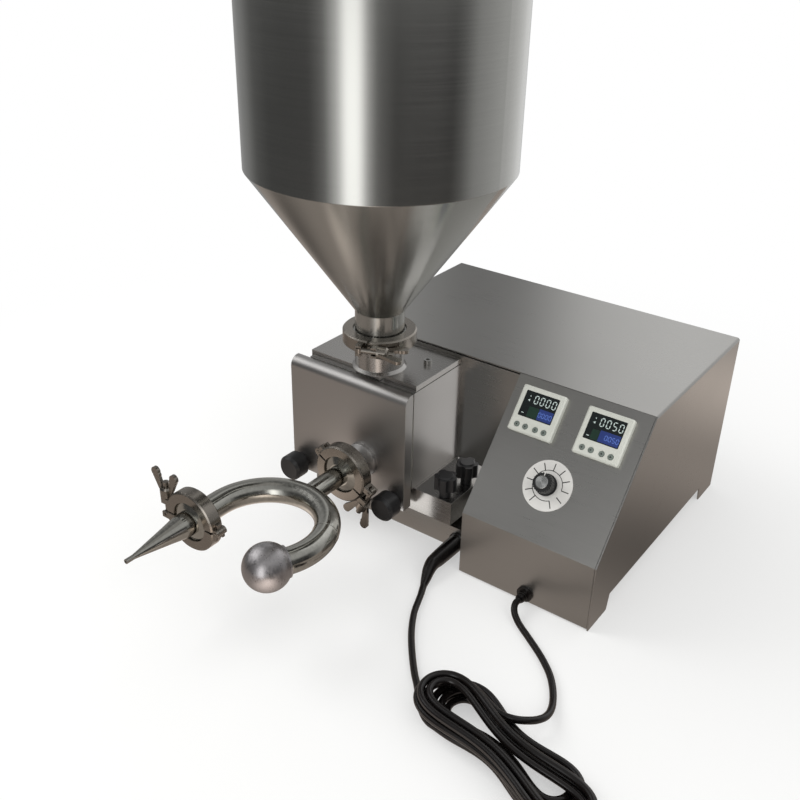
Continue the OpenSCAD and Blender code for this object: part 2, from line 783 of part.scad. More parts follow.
module pump_base() {
    y0 = housing_y0 + 3;
    color("gainsboro") difference() {
        union() {
            block([base_x0, y0, base_z - base_t], [base_x1, front_y, base_z]);
            block([base_x0 + 26, y0 + 20, pan_z], [base_x1 - 62, front_y - 5, base_z - base_t]);
        }
        for (x = cover_knob_xs) rod_y(x, y0 - 1, y0 + 24, knob_z, stud_r + run);
        for (p = base_knobs) translate([p[0], p[1], base_z - 20]) cylinder(h = 21, r = stud_r + run);
    }
}

base_knobs = [[base_x1 - 13.6, housing_y0 + 8.3 + 4], [base_x1 - 10, housing_y0 + 46.7]];

// Round knob with a stud, its seat on Z = 0 and its grip towards +Z
module round_knob(r, h, stud) {
    color(dark) {
        cylinder(h = 4, r = r * 0.62);
        translate([0, 0, 4]) cylinder(h = 3, r1 = r * 0.62, r2 = r);
        translate([0, 0, 7]) cylinder(h = h - 10, r = r);
        translate([0, 0, h - 3]) cylinder(h = 3, r1 = r, r2 = r - 3);
    }
    color("silver") translate([0, 0, -stud]) cylinder(h = stud, r = stud_r);
}

module cover_knob_left() {
    facing_front(cover_knob_xs[0], cover_y0 - gap, knob_z) round_knob(14.5, 24, cover_t + gasket_t + 20);
}

module cover_knob_right() {
    facing_front(cover_knob_xs[1], cover_y0 - gap, knob_z) round_knob(14.5, 24, cover_t + gasket_t + 20);
}

// Star knob with five lobes, its seat on Z = 0
module star_knob() {
    lobes = 5;
    color(dark) {
        cylinder(h = 9, r = 6);
        translate([0, 0, 9]) difference() {
            cylinder(h = 15, r = 12);
            for (a = [0:360 / lobes:359]) rotate(a + 36)
                translate([14.6, 0, -1]) cylinder(h = 17, r = 5.2, $fn = 32);
        }
        translate([0, 0, 24]) cylinder(h = 1.6, r1 = 8.6, r2 = 7.2);
    }
    color("silver") translate([0, 0, -18]) cylinder(h = 18, r = stud_r);
}

module base_knob_front() {
    translate([base_knobs[0][0], base_knobs[0][1], base_z + gap]) star_knob();
}

module base_knob_rear() {
    translate([base_knobs[1][0], base_knobs[1][1], base_z + gap]) rotate(24) star_knob();
}

// ------------------------------------------------------------------ hopper

module hopper() {
    z0 = parting_z + gasket_t / 2;
    r = hopper_r;
    t = hopper_t;
    bead = (rim_t + t) / 2;
    color(steel) translate([hopper_x, hopper_y, 0]) {
        rotate_extrude($fn = 96) polygon([
            [neck_r - 2 * tube_t, z0], [neck_r, z0], [neck_r, cone_z0], [r, barrel_z0], [r, rim_z],
            [r - t, rim_z], [r - t, barrel_z0 + 0.5], [neck_r - 2 * tube_t, cone_z0 + 0.5]]);
        translate([0, 0, z0]) difference() {
            flange(big_ferrule_r, neck_r);
            cylinder(h = 30, r = neck_r - 2 * tube_t, center = true);
        }
        // Rim rolled outwards, level with the inside of the barrel
        rotate_extrude($fn = 96) translate([r - t + bead, rim_z + rim_t - bead]) circle(bead, $fn = 32);
    }
}

// ------------------------------------------------------------------ clamps

// Values of a clamp round ferrules of radius r
function ring_out(r) = r + clamp_t;
function bolt_in(r) = r + clamp_t + bolt_r + 2.4;

ear_y = 5;
ear_t = 6;
clamp_w = 15;

// Cross-section of the ring: a V groove over the two ferrules
module ring_profile(r) {
    h = clamp_w / 2;
    g = ferrule_t + gasket_t / 2 + 0.2;
    lip = 4.6;
    polygon([
        [r + 0.4, -g], [r + 0.4, g], [r - lip, g + (lip + 0.4) * tan(20)], [r - lip, h], [ring_out(r) - 1.5, h],
        [ring_out(r), h - 1.5], [ring_out(r), 1.5 - h], [ring_out(r) - 1.5, -h], [r - lip, -h],
        [r - lip, -g - (lip + 0.4) * tan(20)]]);
}

// Two half rings: the hinge lies at -X, and the ears for the bolt at +X
module clamp_ring(r) {
    split = 2.4;
    b = bolt_in(r);
    color("silver") {
        for (s = [0, 1]) difference() {
            union() {
                rotate(s * 180 + split) rotate_extrude(angle = 180 - 2 * split) ring_profile(r);
                mirror([0, s, 0]) {
                    // Ear at the bolt, and a knuckle at the hinge
                    translate([r + 1.5, ear_y, -5.5]) cube([b + 3.2 - r - 1.5, ear_t, 11]);
                    translate([-ring_out(r) - 3, 1.2, s == 0 ? -2.6 : 2.9]) cube([6, 7, s == 0 ? 5.2 : 3]);
                    if (s == 1) translate([-ring_out(r) - 3, 1.2, -5.9]) cube([6, 7, 3]);
                    translate([-ring_out(r) - 2.4, 0, 0]) for (z = s == 0 ? [-2.6] : [-5.9, 2.9])
                        translate([0, 0, z]) cylinder(h = s == 0 ? 5.2 : 3, r = 4);
                }
            }
            // Slot for the bolt, hole for the hinge pin
            translate([b - bolt_r - 1 - gap, s == 0 ? 0 : -20, -bolt_r - gap])
                cube([20, 20, 2 * (bolt_r + gap)]);
            translate([-ring_out(r) - 2.4, 0, 0]) cylinder(h = 20, r = 1.6, center = true);
            if (s == 1) translate([b, -ear_y - ear_t / 2, 0]) cylinder(h = 20, r = 1.6, center = true);
        }
        translate([-ring_out(r) - 2.4, 0, 0]) cylinder(h = 13, r = 1.55, center = true);
        translate([b, -ear_y - ear_t / 2, 0]) cylinder(h = 13, r = 1.55, center = true);
    }
}

// The bolt turns on a pin in the lower ear
module clamp_bolt(r) {
    color("gainsboro") translate([bolt_in(r), -ear_y - ear_t / 2, 0]) difference() {
        union() {
            cylinder(h = 2 * bolt_r - 0.4, r = bolt_r + 1, center = true);
            rotate([-90, 0, 0]) cylinder(h = 36, r = bolt_r - 0.1);
        }
        cylinder(h = 20, r = 1.6, center = true);
    }
}

// Wing nut on the bolt, over the upper ear
module clamp_nut(r) {
    color("silver") translate([bolt_in(r), ear_y + ear_t + gap, 0]) rotate([-90, 0, 0]) difference() {
        union() {
            cylinder(h = 9, r = 6.4);
            translate([0, 0, 9]) cylinder(h = 2, r1 = 6.4, r2 = 5);
            for (s = [0, 180]) rotate(s) rotate([90, 0, 0]) linear_extrude(3.6, center = true) {
                polygon([[3.4, 3], [6, 2], [9.5, 8], [16.5, 22], [9, 24], [4.2, 10]]);
                translate([12.6, 24]) circle(4.6);
                translate([11.2, 20.4]) circle(4.2);
            }
        }
        translate([0, 0, -1]) cylinder(h = 14, r = bolt_r - 0.05);
    }
}

module at_hopper_clamp() {
    translate([hopper_x, hopper_y, parting_z]) rotate(-70) children();
}

module at_outlet_clamp() {
    translate([outlet_x, outlet_y, outlet_z]) rotate([-90, 0, 0]) rotate(28) children();
}

module at_nozzle_clamp() {
    translate([arm_x, nozzle_y, outlet_z]) rotate([-90, 0, 0]) rotate(180) children();
}

module hopper_clamp() { at_hopper_clamp() clamp_ring(big_ferrule_r); }
module hopper_clamp_bolt() { at_hopper_clamp() clamp_bolt(big_ferrule_r); }
module hopper_clamp_nut() { at_hopper_clamp() clamp_nut(big_ferrule_r); }
module outlet_clamp() { at_outlet_clamp() clamp_ring(ferrule_r); }
module outlet_clamp_bolt() { at_outlet_clamp() clamp_bolt(ferrule_r); }
module outlet_clamp_nut() { at_outlet_clamp() clamp_nut(ferrule_r); }
module nozzle_clamp() { at_nozzle_clamp() clamp_ring(ferrule_r); }
module nozzle_clamp_bolt() { at_nozzle_clamp() clamp_bolt(ferrule_r); }
module nozzle_clamp_nut() { at_nozzle_clamp() clamp_nut(ferrule_r); }

// ------------------------------------------------------------------ outlet tube

// Cross-section of the outlet tube
module tube_ring() {
    difference() {
        circle(tube_r);
        circle(tube_r - tube_t);
    }
}

// Straight tube along -Y from a place
module arm(x, y, long) {
    translate([x, y, outlet_z]) rotate([90, 0, 0]) linear_extrude(long) tube_ring();
}

// Puts a shape at the right arm's end: +Z runs on along the tube
module at_right_end() {
    translate([outlet_x, bend_y, outlet_z]) rotate(90 - right_turn) translate([fork_r, 0, 0])
        rotate([90, 0, 0]) children();
}

end_l = 6;
// Where the two halves of the bend are welded together, as an angle round the bend
weld_a = 25;

// Weld bead round the bend at an angle
module weld_bead(a) {
    translate([outlet_x, bend_y, outlet_z]) rotate(a) translate([fork_r, 0, 0]) rotate([90, 0, 0])
        rotate_extrude() translate([tube_r - 0.9 * tube_t, -0.8]) square([0.9 * tube_t + 0.3, 1.6]);
}

module manifold() {
    color("silver") difference() {
        union() {
            translate([outlet_x, bend_y, outlet_z]) {
                rotate(180) rotate_extrude(angle = weld_a - 180) translate([fork_r, 0]) tube_ring();
                rotate(weld_a) rotate_extrude(angle = 90 - right_turn - weld_a)
                    translate([fork_r, 0]) tube_ring();
            }
            weld_bead(weld_a);
            weld_bead(90 - right_turn);
            arm(arm_x, bend_y, arm_l - gasket_t / 2);
            at_right_end() translate([0, 0, gap]) linear_extrude(end_l - gap) tube_ring();
            // The stem, welded to the bend's middle
            difference() {
                rod_y(outlet_x, apex_y, outlet_y - gasket_t / 2, outlet_z, stem_r);
                translate([outlet_x, bend_y, outlet_z]) rotate(60)
                    rotate_extrude(angle = 60) translate([fork_r, 0]) circle(tube_r - tube_t / 2);
            }
            translate([outlet_x, outlet_y - gasket_t / 2, outlet_z]) rotate([90, 0, 0])
                flange(ferrule_r, stem_r);
            translate([arm_x, nozzle_y + gasket_t / 2, outlet_z]) rotate([-90, 0, 0])
                flange(ferrule_r, tube_r);
        }
        rod_y(outlet_x, apex_y, outlet_y + 1, outlet_z, stem_r - tube_t);
    }
}

// Points of the nozzle's outside as (distance from the tip, radius)
module nozzle() {
    body = [
        [0, tip_r], [9, tip_r], [15, tip_r + 0.9], [28, 5.5], [49, 9], [64, tube_r - 0.8],
        [nozzle_l - gasket_t / 2 - 6, tube_r], [nozzle_l - gasket_t / 2, tube_r]];
    wall = 1.2;
    color("silver") translate([arm_x, nozzle_y - nozzle_l, outlet_z]) rotate([-90, 0, 0]) difference() {
        union() {
            rotate_extrude() polygon(concat([[0, 0]], [for (p = body) [p[1], p[0]]],
                                            [[0, nozzle_l - gasket_t / 2]]));
            translate([0, 0, nozzle_l - gasket_t / 2]) mirror([0, 0, 1]) flange(ferrule_r, tube_r);
        }
        rotate_extrude() polygon(concat([[0, -1], [tip_r - wall, -1]],
            [for (p = body) [p[1] - wall, p[0]]], [[tube_r - wall, nozzle_l], [0, nozzle_l]]));
    }
}

// Domed cap pushed over the right arm's end
module end_cap() {
    color("gray") at_right_end() difference() {
        union() {
            translate([0, 0, end_l + 14]) sphere(cap_r);
            translate([0, 0, end_l - 4.8]) cylinder(h = 8, r = tube_r + 2.6);
        }
        translate([0, 0, end_l - 12]) cylinder(h = 12 + gap, r = tube_r + gap / 3);
        translate([0, 0, end_l - 12]) cylinder(h = 24, r = tube_r - 2 * tube_t);
    }
}

// ------------------------------------------------------------------ cords and pedal

gland_z = 11;
gland_r = 6;
power_x = right_x - 70;
pedal_x = con_x - 22;
power_boot = 12;
pedal_boot = 40;

// Tapered strain relief with its flange against a sheet's front at y
module strain_relief(x, y, long) {
    facing_front(x, y, gland_z) {
        cylinder(h = 3, r = gland_r + 2.4);
        translate([0, 0, -4]) cylinder(h = 4, r = gland_r);
        translate([0, 0, 3]) cylinder(h = long - 3, r1 = gland_r, r2 = cord_d / 2 + 1);
    }
}

module cord_glands() {
    color(dark) {
        strain_relief(power_x, con_y, power_boot);
        strain_relief(pedal_x, pan_y, pedal_boot);
    }
}

// Points that the middles of the free cords follow, from the strain relief on
power_route = [
    [135.5, -41, 11], [135.5, -48, 11], [138.5, -55, 8.5], [145, -61, 5.5], [153.5, -66.5, 3.5],
    [162, -72, 3.5], [171, -78, 3.5], [180, -84, 3.5], [189, -90.5, 3.5], [197.5, -97.5, 3.5],
    [205.5, -105, 3.5], [212.5, -113.5, 3.5], [218.5, -122.5, 3.5], [223.5, -132, 4],
    [227.5, -142.5, 6], [229.5, -153.5, 9], [228.5, -164.5, 13], [223, -175.5, 17],
    [212.5, -183, 18.4], [200, -184.5, 17.9]];
pedal_route = [
    [35.5, -38, 11], [35.5, -45, 11], [37, -54, 9], [40, -63.5, 5.5], [44, -74, 3.5],
    [49, -85, 3.5], [53.5, -96.5, 3.5], [58, -108, 3.5], [63.5, -119, 3.5], [70, -130, 3.5],
    [77, -140.5, 3.5], [84.5, -150.5, 3.5], [92.5, -160.5, 3.5], [100.5, -170, 3.5],
    [109, -179.5, 3.5], [118, -188.5, 3.5], [127, -198.5, 3.5], [137.5, -209.5, 3.5]];

// From each hank's last turn on, seen from its middle with the first number along its length
power_tail = [
    [84, -12.5, 25.1], [94, -11, 24.5], [104, -12, 22.5], [115, -16, 19.5], [126, -22, 16.5],
    [136, -29.5, 15], [144.5, -38.5, 15], [151, -48.5, 16], [155, -58.5, 17.3], [156, -68, 17.5],
    [156, -76, 17.5]];
pedal_tail = [
    [56, -22, 10.7], [66, -22.5, 10.5], [76, -25.5, 9], [85, -31.5, 7.5], [91.5, -39.5, 7],
    [95.5, -49, 7], [97.5, -59, 7.5], [98, -69, 8], [98, -78, 8]];

// A hank: its middle, half-length inside, rings on the way in and out, the angle of its
// first ring, its turn on the table and the height of its first layer
power_pile = [[223, -216], 83, 45, 40, 133, 9, 17.9];
pedal_pile = [[218, -203], 64, 50, 52, 224, 9, 3.5];
pile_a = -24;
loop_rings = 24;
waist = 4.5;
lobe = 27;
lead = 10;

function turned(p, a) = [p[0] * cos(a) - p[1] * sin(a), p[0] * sin(a) + p[1] * cos(a)];
function unit(v) = v / norm(v);
function eased(x) = x <= 0 ? 0 : x >= 1 ? 1 : x * x * (3 - 2 * x);

// The innermost turn is drawn in at its waist; the others lie outside it by their offset
function turn_way(l, a) = [-l * sin(a), cos(a) * (waist + lobe * pow(cos(a), 2) - 2 * lobe * pow(sin(a), 2))];
function turn_point(l, o, a) =
    let (t = turn_way(l, a))
    [l * cos(a), sin(a) * (waist + lobe * pow(cos(a), 2))] + o * unit([t[1], -t[0]]);
function hank_point(h, i) =
    let (p = turn_point(h[1], hank_step * abs(i - h[2]) / loop_rings, h[4] + i * 360 / loop_rings),
         q = h[0] + turned(p, h[5] + pile_a))
    [q[0], q[1], h[6] + hank_layer * eased((i - h[2]) / (loop_rings / 2) + 0.5)];
function hank_way(h) =
    let (t = hank_point(h, 0.001) - hank_point(h, 0)) unit([t[0], t[1], 0]);
function hank_start(h) = hank_point(h, 0) - lead * hank_way(h);
function from_middle(h, p) =
    let (q = h[0] + turned(p, pile_a)) [q[0], q[1], p[2]];
function hank_path(h, tail) = concat(
    [hank_start(h)], [for (i = [0:h[2] + h[3]]) hank_point(h, i)], [for (p = tail) from_middle(h, p)]);

// The free cord: its first point moves with the strain relief, its last runs into the hank
function free_path(route, first, h) = concat(
    [for (i = [0:len(route) - 1]) route[i] + (first - route[0]) * (1 - i / (len(route) - 1))],
    [hank_start(h) - 8 * hank_way(h), hank_start(h)]);

// A tube of n sides along a path, as one polyhedron
function way_at(p, i) = unit(p[min(i + 1, len(p) - 1)] - p[max(i - 1, 0)]);
function ring_at(p, i, r, n) =
    let (t = way_at(p, i), s = unit(cross(t, [0, 0, 1])), u = cross(s, t))
    [for (j = [0:n - 1]) p[i] + r * (cos(90 + (360 * j - 180) / n) * s + sin(90 + (360 * j - 180) / n) * u)];
module tube(path, n) {
    last = len(path) - 1;
    polyhedron(
        points = [for (i = [0:last]) each ring_at(path, i, cord_d / 2, n)],
        faces = concat(
            [for (i = [0:last - 1], j = [0:n - 1]) [i * n + j, i * n + (j + 1) % n, (i + 1) * n + j]],
            [for (i = [0:last - 1], j = [0:n - 1])
                [i * n + (j + 1) % n, (i + 1) * n + (j + 1) % n, (i + 1) * n + j]],
            [for (j = [1:n - 2]) [0, j + 1, j]],
            [for (j = [1:n - 2]) [last * n, last * n + j, last * n + j + 1]]));
}

// Least gap of a hank's tube to itself, from each point to every piece of its middle line
function piece_gap(p, a, b) =
    let (k = max(0, min(1, (p - a) * (b - a) / ((b - a) * (b - a))))) norm(p - a - k * (b - a));
function least_gap(p) = min([for (i = [0:len(p) - 1], j = [0:len(p) - 2])
    if (abs(i - j - 0.5) > 8) piece_gap(p[i], p[j], p[j + 1])]) - cord_d;
echo(power_hank_gap = least_gap(hank_path(power_pile, power_tail)));
echo(pedal_hank_gap = least_gap(hank_path(pedal_pile, pedal_tail)));

module power_cord() {
    color(dark) tube(free_path(power_route, [power_x, con_y - power_boot, gland_z], power_pile), 8);
}

module power_hank() {
    color(dark) tube(hank_path(power_pile, power_tail), 6);
}

module pedal_cord() {
    color(dark) tube(free_path(pedal_route, [pedal_x, pan_y - pedal_boot, gland_z], pedal_pile), 8);
}

module pedal_hank() {
    color(dark) tube(hank_path(pedal_pile, pedal_tail), 6);
}

// Puts a shape at a cord's end: +Z runs on from the cord and +Y is up
module at_cord_end(h, p) {
    translate(from_middle(h, p)) rotate(pile_a) rotate([90, 0, 0]) children();
}

// Moulded mains plug with two round pins, lying on its side
module power_plug() {
    body_r = 17;
    at_cord_end(power_pile, power_tail[len(power_tail) - 1]) {
        color(dark) {
            cylinder(h = 26, r1 = cord_d / 2 + 1, r2 = 7);
            translate([0, 0, 26]) cylinder(h = 6, r1 = 9, r2 = body_r);
            translate([0, 0, 32]) cylinder(h = 24, r = body_r);
        }
        color("gainsboro") for (x = [-9.5, 9.5]) translate([x, 0, 56]) {
            cylinder(h = 17.6, r = 2.4);
            translate([0, 0, 17.6]) cylinder(h = 1.4, r1 = 2.4, r2 = 1.4);
        }
    }
}

// The pedal's own frame: X across, Y towards the cord and Z up, its middle on the table
module at_pedal() {
    p = pedal_tail[len(pedal_tail) - 1];
    translate(from_middle(pedal_pile, [p[0], p[1] - 20 - pedal_l / 2, 0])) rotate(pile_a) children();
}

hinge_y = pedal_l / 2 - 12;
hinge_z = pedal_h - 13;

// Tray with two cheeks and the hinge pin between them, and the cord's strain relief
module pedal_base() {
    color(dark) at_pedal() {
        difference() {
            linear_extrude(12) rounded(pedal_w, pedal_l, 8);
            translate([0, 0, 3]) linear_extrude(20) rounded(pedal_w - 14, pedal_l - 10, 5);
        }
        for (x = [-pedal_w / 2, pedal_w / 2 - 4])
            translate([x, hinge_y - 9, 8]) cube([4, 16, 13]);
        translate([0, pedal_l / 2 - 1, pedal_tail[len(pedal_tail) - 1][2]]) rotate([-90, 0, 0])
            cylinder(h = 21, r1 = 6, r2 = cord_d / 2 + 1);
    }
    color("silver") at_pedal() {
        translate([-pedal_w / 2 + 1, hinge_y, hinge_z]) rotate([0, 90, 0])
            cylinder(h = pedal_w - 2, r = 2);
        // Switch plunger under the treadle
        translate([0, -pedal_l / 4, 2]) cylinder(h = 9, r = 4);
    }
}

// Ribbed treadle on the hinge pin, 4 degrees up from its stop
module pedal_treadle() {
    w = pedal_w - 8 - 2 * gap;
    color("#3a3d40") at_pedal() translate([0, hinge_y, hinge_z]) difference() {
        union() {
            rotate([-treadle_up, 0, 0]) {
                translate([-w / 2, -pedal_l + 16, 2.2]) cube([w, pedal_l - 8, 4]);
                for (k = [0:7]) translate([-w / 2 + 3, -pedal_l + 21 + 8 * k, 6.2]) cube([w - 6, 3, 1.6]);
            }
            rotate([0, 90, 0]) cylinder(h = pedal_w - 14 - 2 * gap, r = 4.6, center = true);
        }
        rotate([0, 90, 0]) cylinder(h = w + 1, r = 2 + run, center = true);
    }
}

treadle_up = 4;

cabinet_shell();
front_panel();
console_panel();
rear_panel();
base_pan();
panel_screws();
counter_left();
counter_right();
counter_windows();
key_left_1();
key_left_2();
key_left_3();
key_left_4();
key_right_1();
key_right_2();
key_right_3();
key_right_4();
dial_plate();
speed_pot();
speed_knob();
rocker_frame();
rocker_switch();
control_board();
gearmotor();
motor_bracket();
coupling();
drive_shaft();
drive_rotor();
driven_rotor();
shaft_bearings();
seals();
pump_housing();
front_cover();
top_plate();
pump_base();
cover_knob_left();
cover_knob_right();
base_knob_front();
base_knob_rear();
hopper();
hopper_clamp();
hopper_clamp_bolt();
hopper_clamp_nut();
outlet_clamp();
outlet_clamp_bolt();
outlet_clamp_nut();
nozzle_clamp();
nozzle_clamp_bolt();
nozzle_clamp_nut();
manifold();
nozzle();
end_cap();
cord_glands();
power_cord();
power_hank();
power_plug();
pedal_cord();
pedal_hank();
pedal_base();
pedal_treadle();
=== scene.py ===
# Looks of the donut filler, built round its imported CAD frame. Run by Blender 4.5; lengths in metres.
import math
import bmesh
import bpy
from mathutils import Matrix, Vector


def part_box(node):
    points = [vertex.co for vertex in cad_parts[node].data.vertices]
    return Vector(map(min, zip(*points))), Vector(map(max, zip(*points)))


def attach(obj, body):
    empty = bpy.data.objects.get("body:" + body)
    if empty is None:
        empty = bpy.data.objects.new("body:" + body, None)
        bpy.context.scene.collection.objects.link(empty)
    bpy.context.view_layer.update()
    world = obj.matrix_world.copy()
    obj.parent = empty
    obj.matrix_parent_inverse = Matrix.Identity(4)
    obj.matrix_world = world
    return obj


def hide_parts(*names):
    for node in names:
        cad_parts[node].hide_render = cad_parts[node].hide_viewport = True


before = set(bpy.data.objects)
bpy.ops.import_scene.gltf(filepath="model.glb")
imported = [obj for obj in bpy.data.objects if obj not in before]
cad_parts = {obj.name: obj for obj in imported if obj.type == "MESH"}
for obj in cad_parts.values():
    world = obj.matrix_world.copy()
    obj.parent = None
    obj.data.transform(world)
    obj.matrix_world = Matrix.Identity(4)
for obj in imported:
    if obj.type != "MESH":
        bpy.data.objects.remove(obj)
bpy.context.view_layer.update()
mm = 0.001
print("frame loaded")

# the camera stands where the photograph was taken from
camera = {
    "place": (0.47525, -0.71724, 0.64279),
    "right": (0.8044463, 0.5937596, 0.017769),
    "up": (-0.298587, 0.3783148, 0.8761984),
    "lens": 43.899,
}
cameraData = bpy.data.cameras.new("photoCamera")
cameraData.lens = camera["lens"]
cameraData.sensor_width = 36
cameraData.clip_start = 0.02
cameraObject = bpy.data.objects.new("photoCamera", cameraData)
bpy.context.scene.collection.objects.link(cameraObject)
rightWay, upWay = Vector(camera["right"]), Vector(camera["up"])
turn = Matrix((rightWay, upWay, rightWay.cross(upWay))).transposed()
cameraObject.matrix_world = Matrix.Translation(camera["place"]) @ turn.to_4x4()
bpy.context.scene.camera = cameraObject


# small helpers
def deselectAll():
    bpy.ops.object.select_all(action="DESELECT")


def settle(piece, place=Matrix()):
    # the piece goes to its place, and the place goes into its mesh
    deselectAll()
    piece.select_set(True)
    bpy.context.view_layer.objects.active = piece
    piece.matrix_world = place @ piece.matrix_world
    bpy.ops.object.transform_apply(location=True, rotation=True, scale=True)
    return piece


def editPiece(piece):
    deselectAll()
    piece.select_set(True)
    bpy.context.view_layer.objects.active = piece
    bpy.ops.object.mode_set(mode="EDIT")
    return bmesh.from_edit_mesh(piece.data)


def leaveEdit(makeConsistent=True):
    if makeConsistent:
        bpy.ops.mesh.select_all(action="SELECT")
        bpy.ops.mesh.remove_doubles(threshold=1e-7)
        bpy.ops.mesh.normals_make_consistent(inside=False)
    bpy.ops.object.mode_set(mode="OBJECT")


def turnedPiece(name, rings, sides=48):
    # drawn out ring by ring along +Z; rings are (height, radius) in millimetres
    deselectAll()
    bpy.ops.mesh.primitive_circle_add(vertices=sides, radius=rings[0][1] * mm)
    piece = bpy.context.object
    piece.name = name
    editPiece(piece)
    bpy.ops.mesh.select_all(action="SELECT")
    bpy.ops.transform.translate(value=(0, 0, rings[0][0] * mm))
    bpy.ops.mesh.edge_face_add()
    bpy.ops.mesh.select_mode(type="EDGE")
    bpy.ops.mesh.select_all(action="SELECT")
    for before, ring in zip(rings, rings[1:]):
        bpy.ops.mesh.extrude_edges_move(TRANSFORM_OT_translate={"value": (0, 0, (ring[0] - before[0]) * mm)})
        grow = ring[1] / before[1]
        bpy.ops.transform.resize(value=(grow, grow, 1), center_override=(0, 0, ring[0] * mm))
    bpy.ops.mesh.edge_face_add()
    leaveEdit()
    return piece


def joinPieces(name, pieces):
    deselectAll()
    for piece in pieces:
        piece.select_set(True)
    bpy.context.view_layer.objects.active = pieces[0]
    bpy.ops.object.join()
    pieces[0].name = name
    return pieces[0]


def finishPiece(piece, body, material, smoothAngle=35):
    if piece.type == "MESH":
        deselectAll()
        piece.select_set(True)
        bpy.context.view_layer.objects.active = piece
        bpy.ops.object.shade_smooth_by_angle(angle=math.radians(smoothAngle))
    piece.data.materials.clear()
    piece.data.materials.append(material)
    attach(piece, body)
    return piece


# materials
def linearColour(hexValue):
    parts = [int(hexValue[i:i + 2], 16) / 255 for i in (1, 3, 5)]
    return [c / 12.92 if c <= 0.04045 else ((c + 0.055) / 1.055) ** 2.4 for c in parts] + [1]


def addNode(tree, kind, settings=None, links=None):
    # settings are the node's own fields or its sockets; links are socket: node or (node, output)
    node = tree.nodes.new(kind)
    for key, value in (settings or {}).items():
        if isinstance(key, str) and hasattr(node, key):
            setattr(node, key, value)
        else:
            node.inputs[key].default_value = value
    for key, source in (links or {}).items():
        source = source if isinstance(source, tuple) else (source, 0)
        tree.links.new(source[0].outputs[source[1]], node.inputs[key])
    return node


def startMaterial(name, colour, roughness, metallic=0.0, **sockets):
    material = bpy.data.materials.new(name)
    material.use_nodes = True
    shader = material.node_tree.nodes["Principled BSDF"]
    shader.inputs["Base Color"].default_value = linearColour(colour)
    shader.inputs["Roughness"].default_value = roughness
    shader.inputs["Metallic"].default_value = metallic
    for socket, value in sockets.items():
        shader.inputs[socket.replace("_", " ")].default_value = value
    return material, material.node_tree, shader


def grainNoise(tree, place, size, stretch, detail=2.0):
    # noise of that size in millimetres, drawn out along the axes whose stretch is above 1
    scale = [1 / (size * mm * s) for s in stretch]
    mapped = addNode(tree, "ShaderNodeMapping", {"Scale": scale}, {"Vector": (place, 3)})
    return addNode(tree, "ShaderNodeTexNoise", {"Scale": 1.0, "Detail": detail, "Roughness": 0.55},
                   {"Vector": mapped})


def spread(tree, source, low, high, output=0, fromLow=0.3, fromHigh=0.7):
    return addNode(tree, "ShaderNodeMapRange",
                   {"From Min": fromLow, "From Max": fromHigh, "To Min": low, "To Max": high},
                   {"Value": (source, output)})


def metal(name, colour, roughness, vary, grain, stretch, edge=0.5, height=0.012, tangent=None, anisotropy=0.0,
          smudge=70, darken=0.86):
    # grain is the scratches' width in millimetres, vary how much they change the roughness
    material, tree, shader = startMaterial(name, colour, roughness, 1.0, Anisotropic=anisotropy)
    place = addNode(tree, "ShaderNodeTexCoord")
    scratches = grainNoise(tree, place, grain, stretch)
    clouds = grainNoise(tree, place, smudge, (1, 1, 1), 3.0)
    fine = spread(tree, scratches, roughness - vary, roughness + vary)
    broad = spread(tree, clouds, -0.6 * vary, 0.6 * vary)
    total = addNode(tree, "ShaderNodeMath", {"operation": "ADD"}, {0: fine, 1: broad})
    tree.links.new(total.outputs[0], shader.inputs["Roughness"])
    base = linearColour(colour)
    tint = addNode(tree, "ShaderNodeMix", {"data_type": "RGBA"}, {0: spread(tree, scratches, 0, 1)})
    tint.inputs[6].default_value = [c * darken for c in base[:3]] + [1]
    tint.inputs[7].default_value = base
    tree.links.new(tint.outputs[2], shader.inputs["Base Color"])
    rounded = addNode(tree, "ShaderNodeBevel", {"samples": 4, "Radius": edge * mm})
    bump = addNode(tree, "ShaderNodeBump", {"Strength": 0.35, "Distance": height * mm},
                   {"Height": scratches, "Normal": rounded})
    tree.links.new(bump.outputs[0], shader.inputs["Normal"])
    if tangent:
        way = addNode(tree, "ShaderNodeCombineXYZ", {0: tangent[0], 1: tangent[1], 2: tangent[2]})
        tree.links.new(way.outputs[0], shader.inputs["Tangent"])
    return material


def plastic(name, colour, roughness, grain, height=0.02, edge=0.3, vary=0.06, second=None, **sockets):
    material, tree, shader = startMaterial(name, colour, roughness, **sockets)
    place = addNode(tree, "ShaderNodeTexCoord")
    texture = grainNoise(tree, place, grain, (1, 1, 1))
    clouds = grainNoise(tree, place, 25, (1, 1, 1), 3.0)
    rough = spread(tree, clouds, roughness - vary, roughness + vary)
    tree.links.new(rough.outputs[0], shader.inputs["Roughness"])
    base = linearColour(colour)
    tint = addNode(tree, "ShaderNodeMix", {"data_type": "RGBA"}, {0: spread(tree, clouds, 0, 1)})
    tint.inputs[6].default_value = linearColour(second) if second else [c * 0.9 for c in base[:3]] + [1]
    tint.inputs[7].default_value = base
    tree.links.new(tint.outputs[2], shader.inputs["Base Color"])
    rounded = addNode(tree, "ShaderNodeBevel", {"samples": 4, "Radius": edge * mm})
    bump = addNode(tree, "ShaderNodeBump", {"Strength": 0.4, "Distance": height * mm},
                   {"Height": texture, "Normal": rounded})
    tree.links.new(bump.outputs[0], shader.inputs["Normal"])
    return material


# 304 stainless sheet, brushed with a 180 grit belt: soft broad lights. Real scratches are 0.1 mm wide,
# drawn at 0.5 mm so that they don't flicker
sheetSteel = metal("brushedSheetSteel", "#b4b3b0", 0.3, 0.025, 0.5, (90, 1, 1), height=0.0012, darken=0.96,
                   tangent=(0, 0.6, 0.8), anisotropy=0.3, smudge=110)
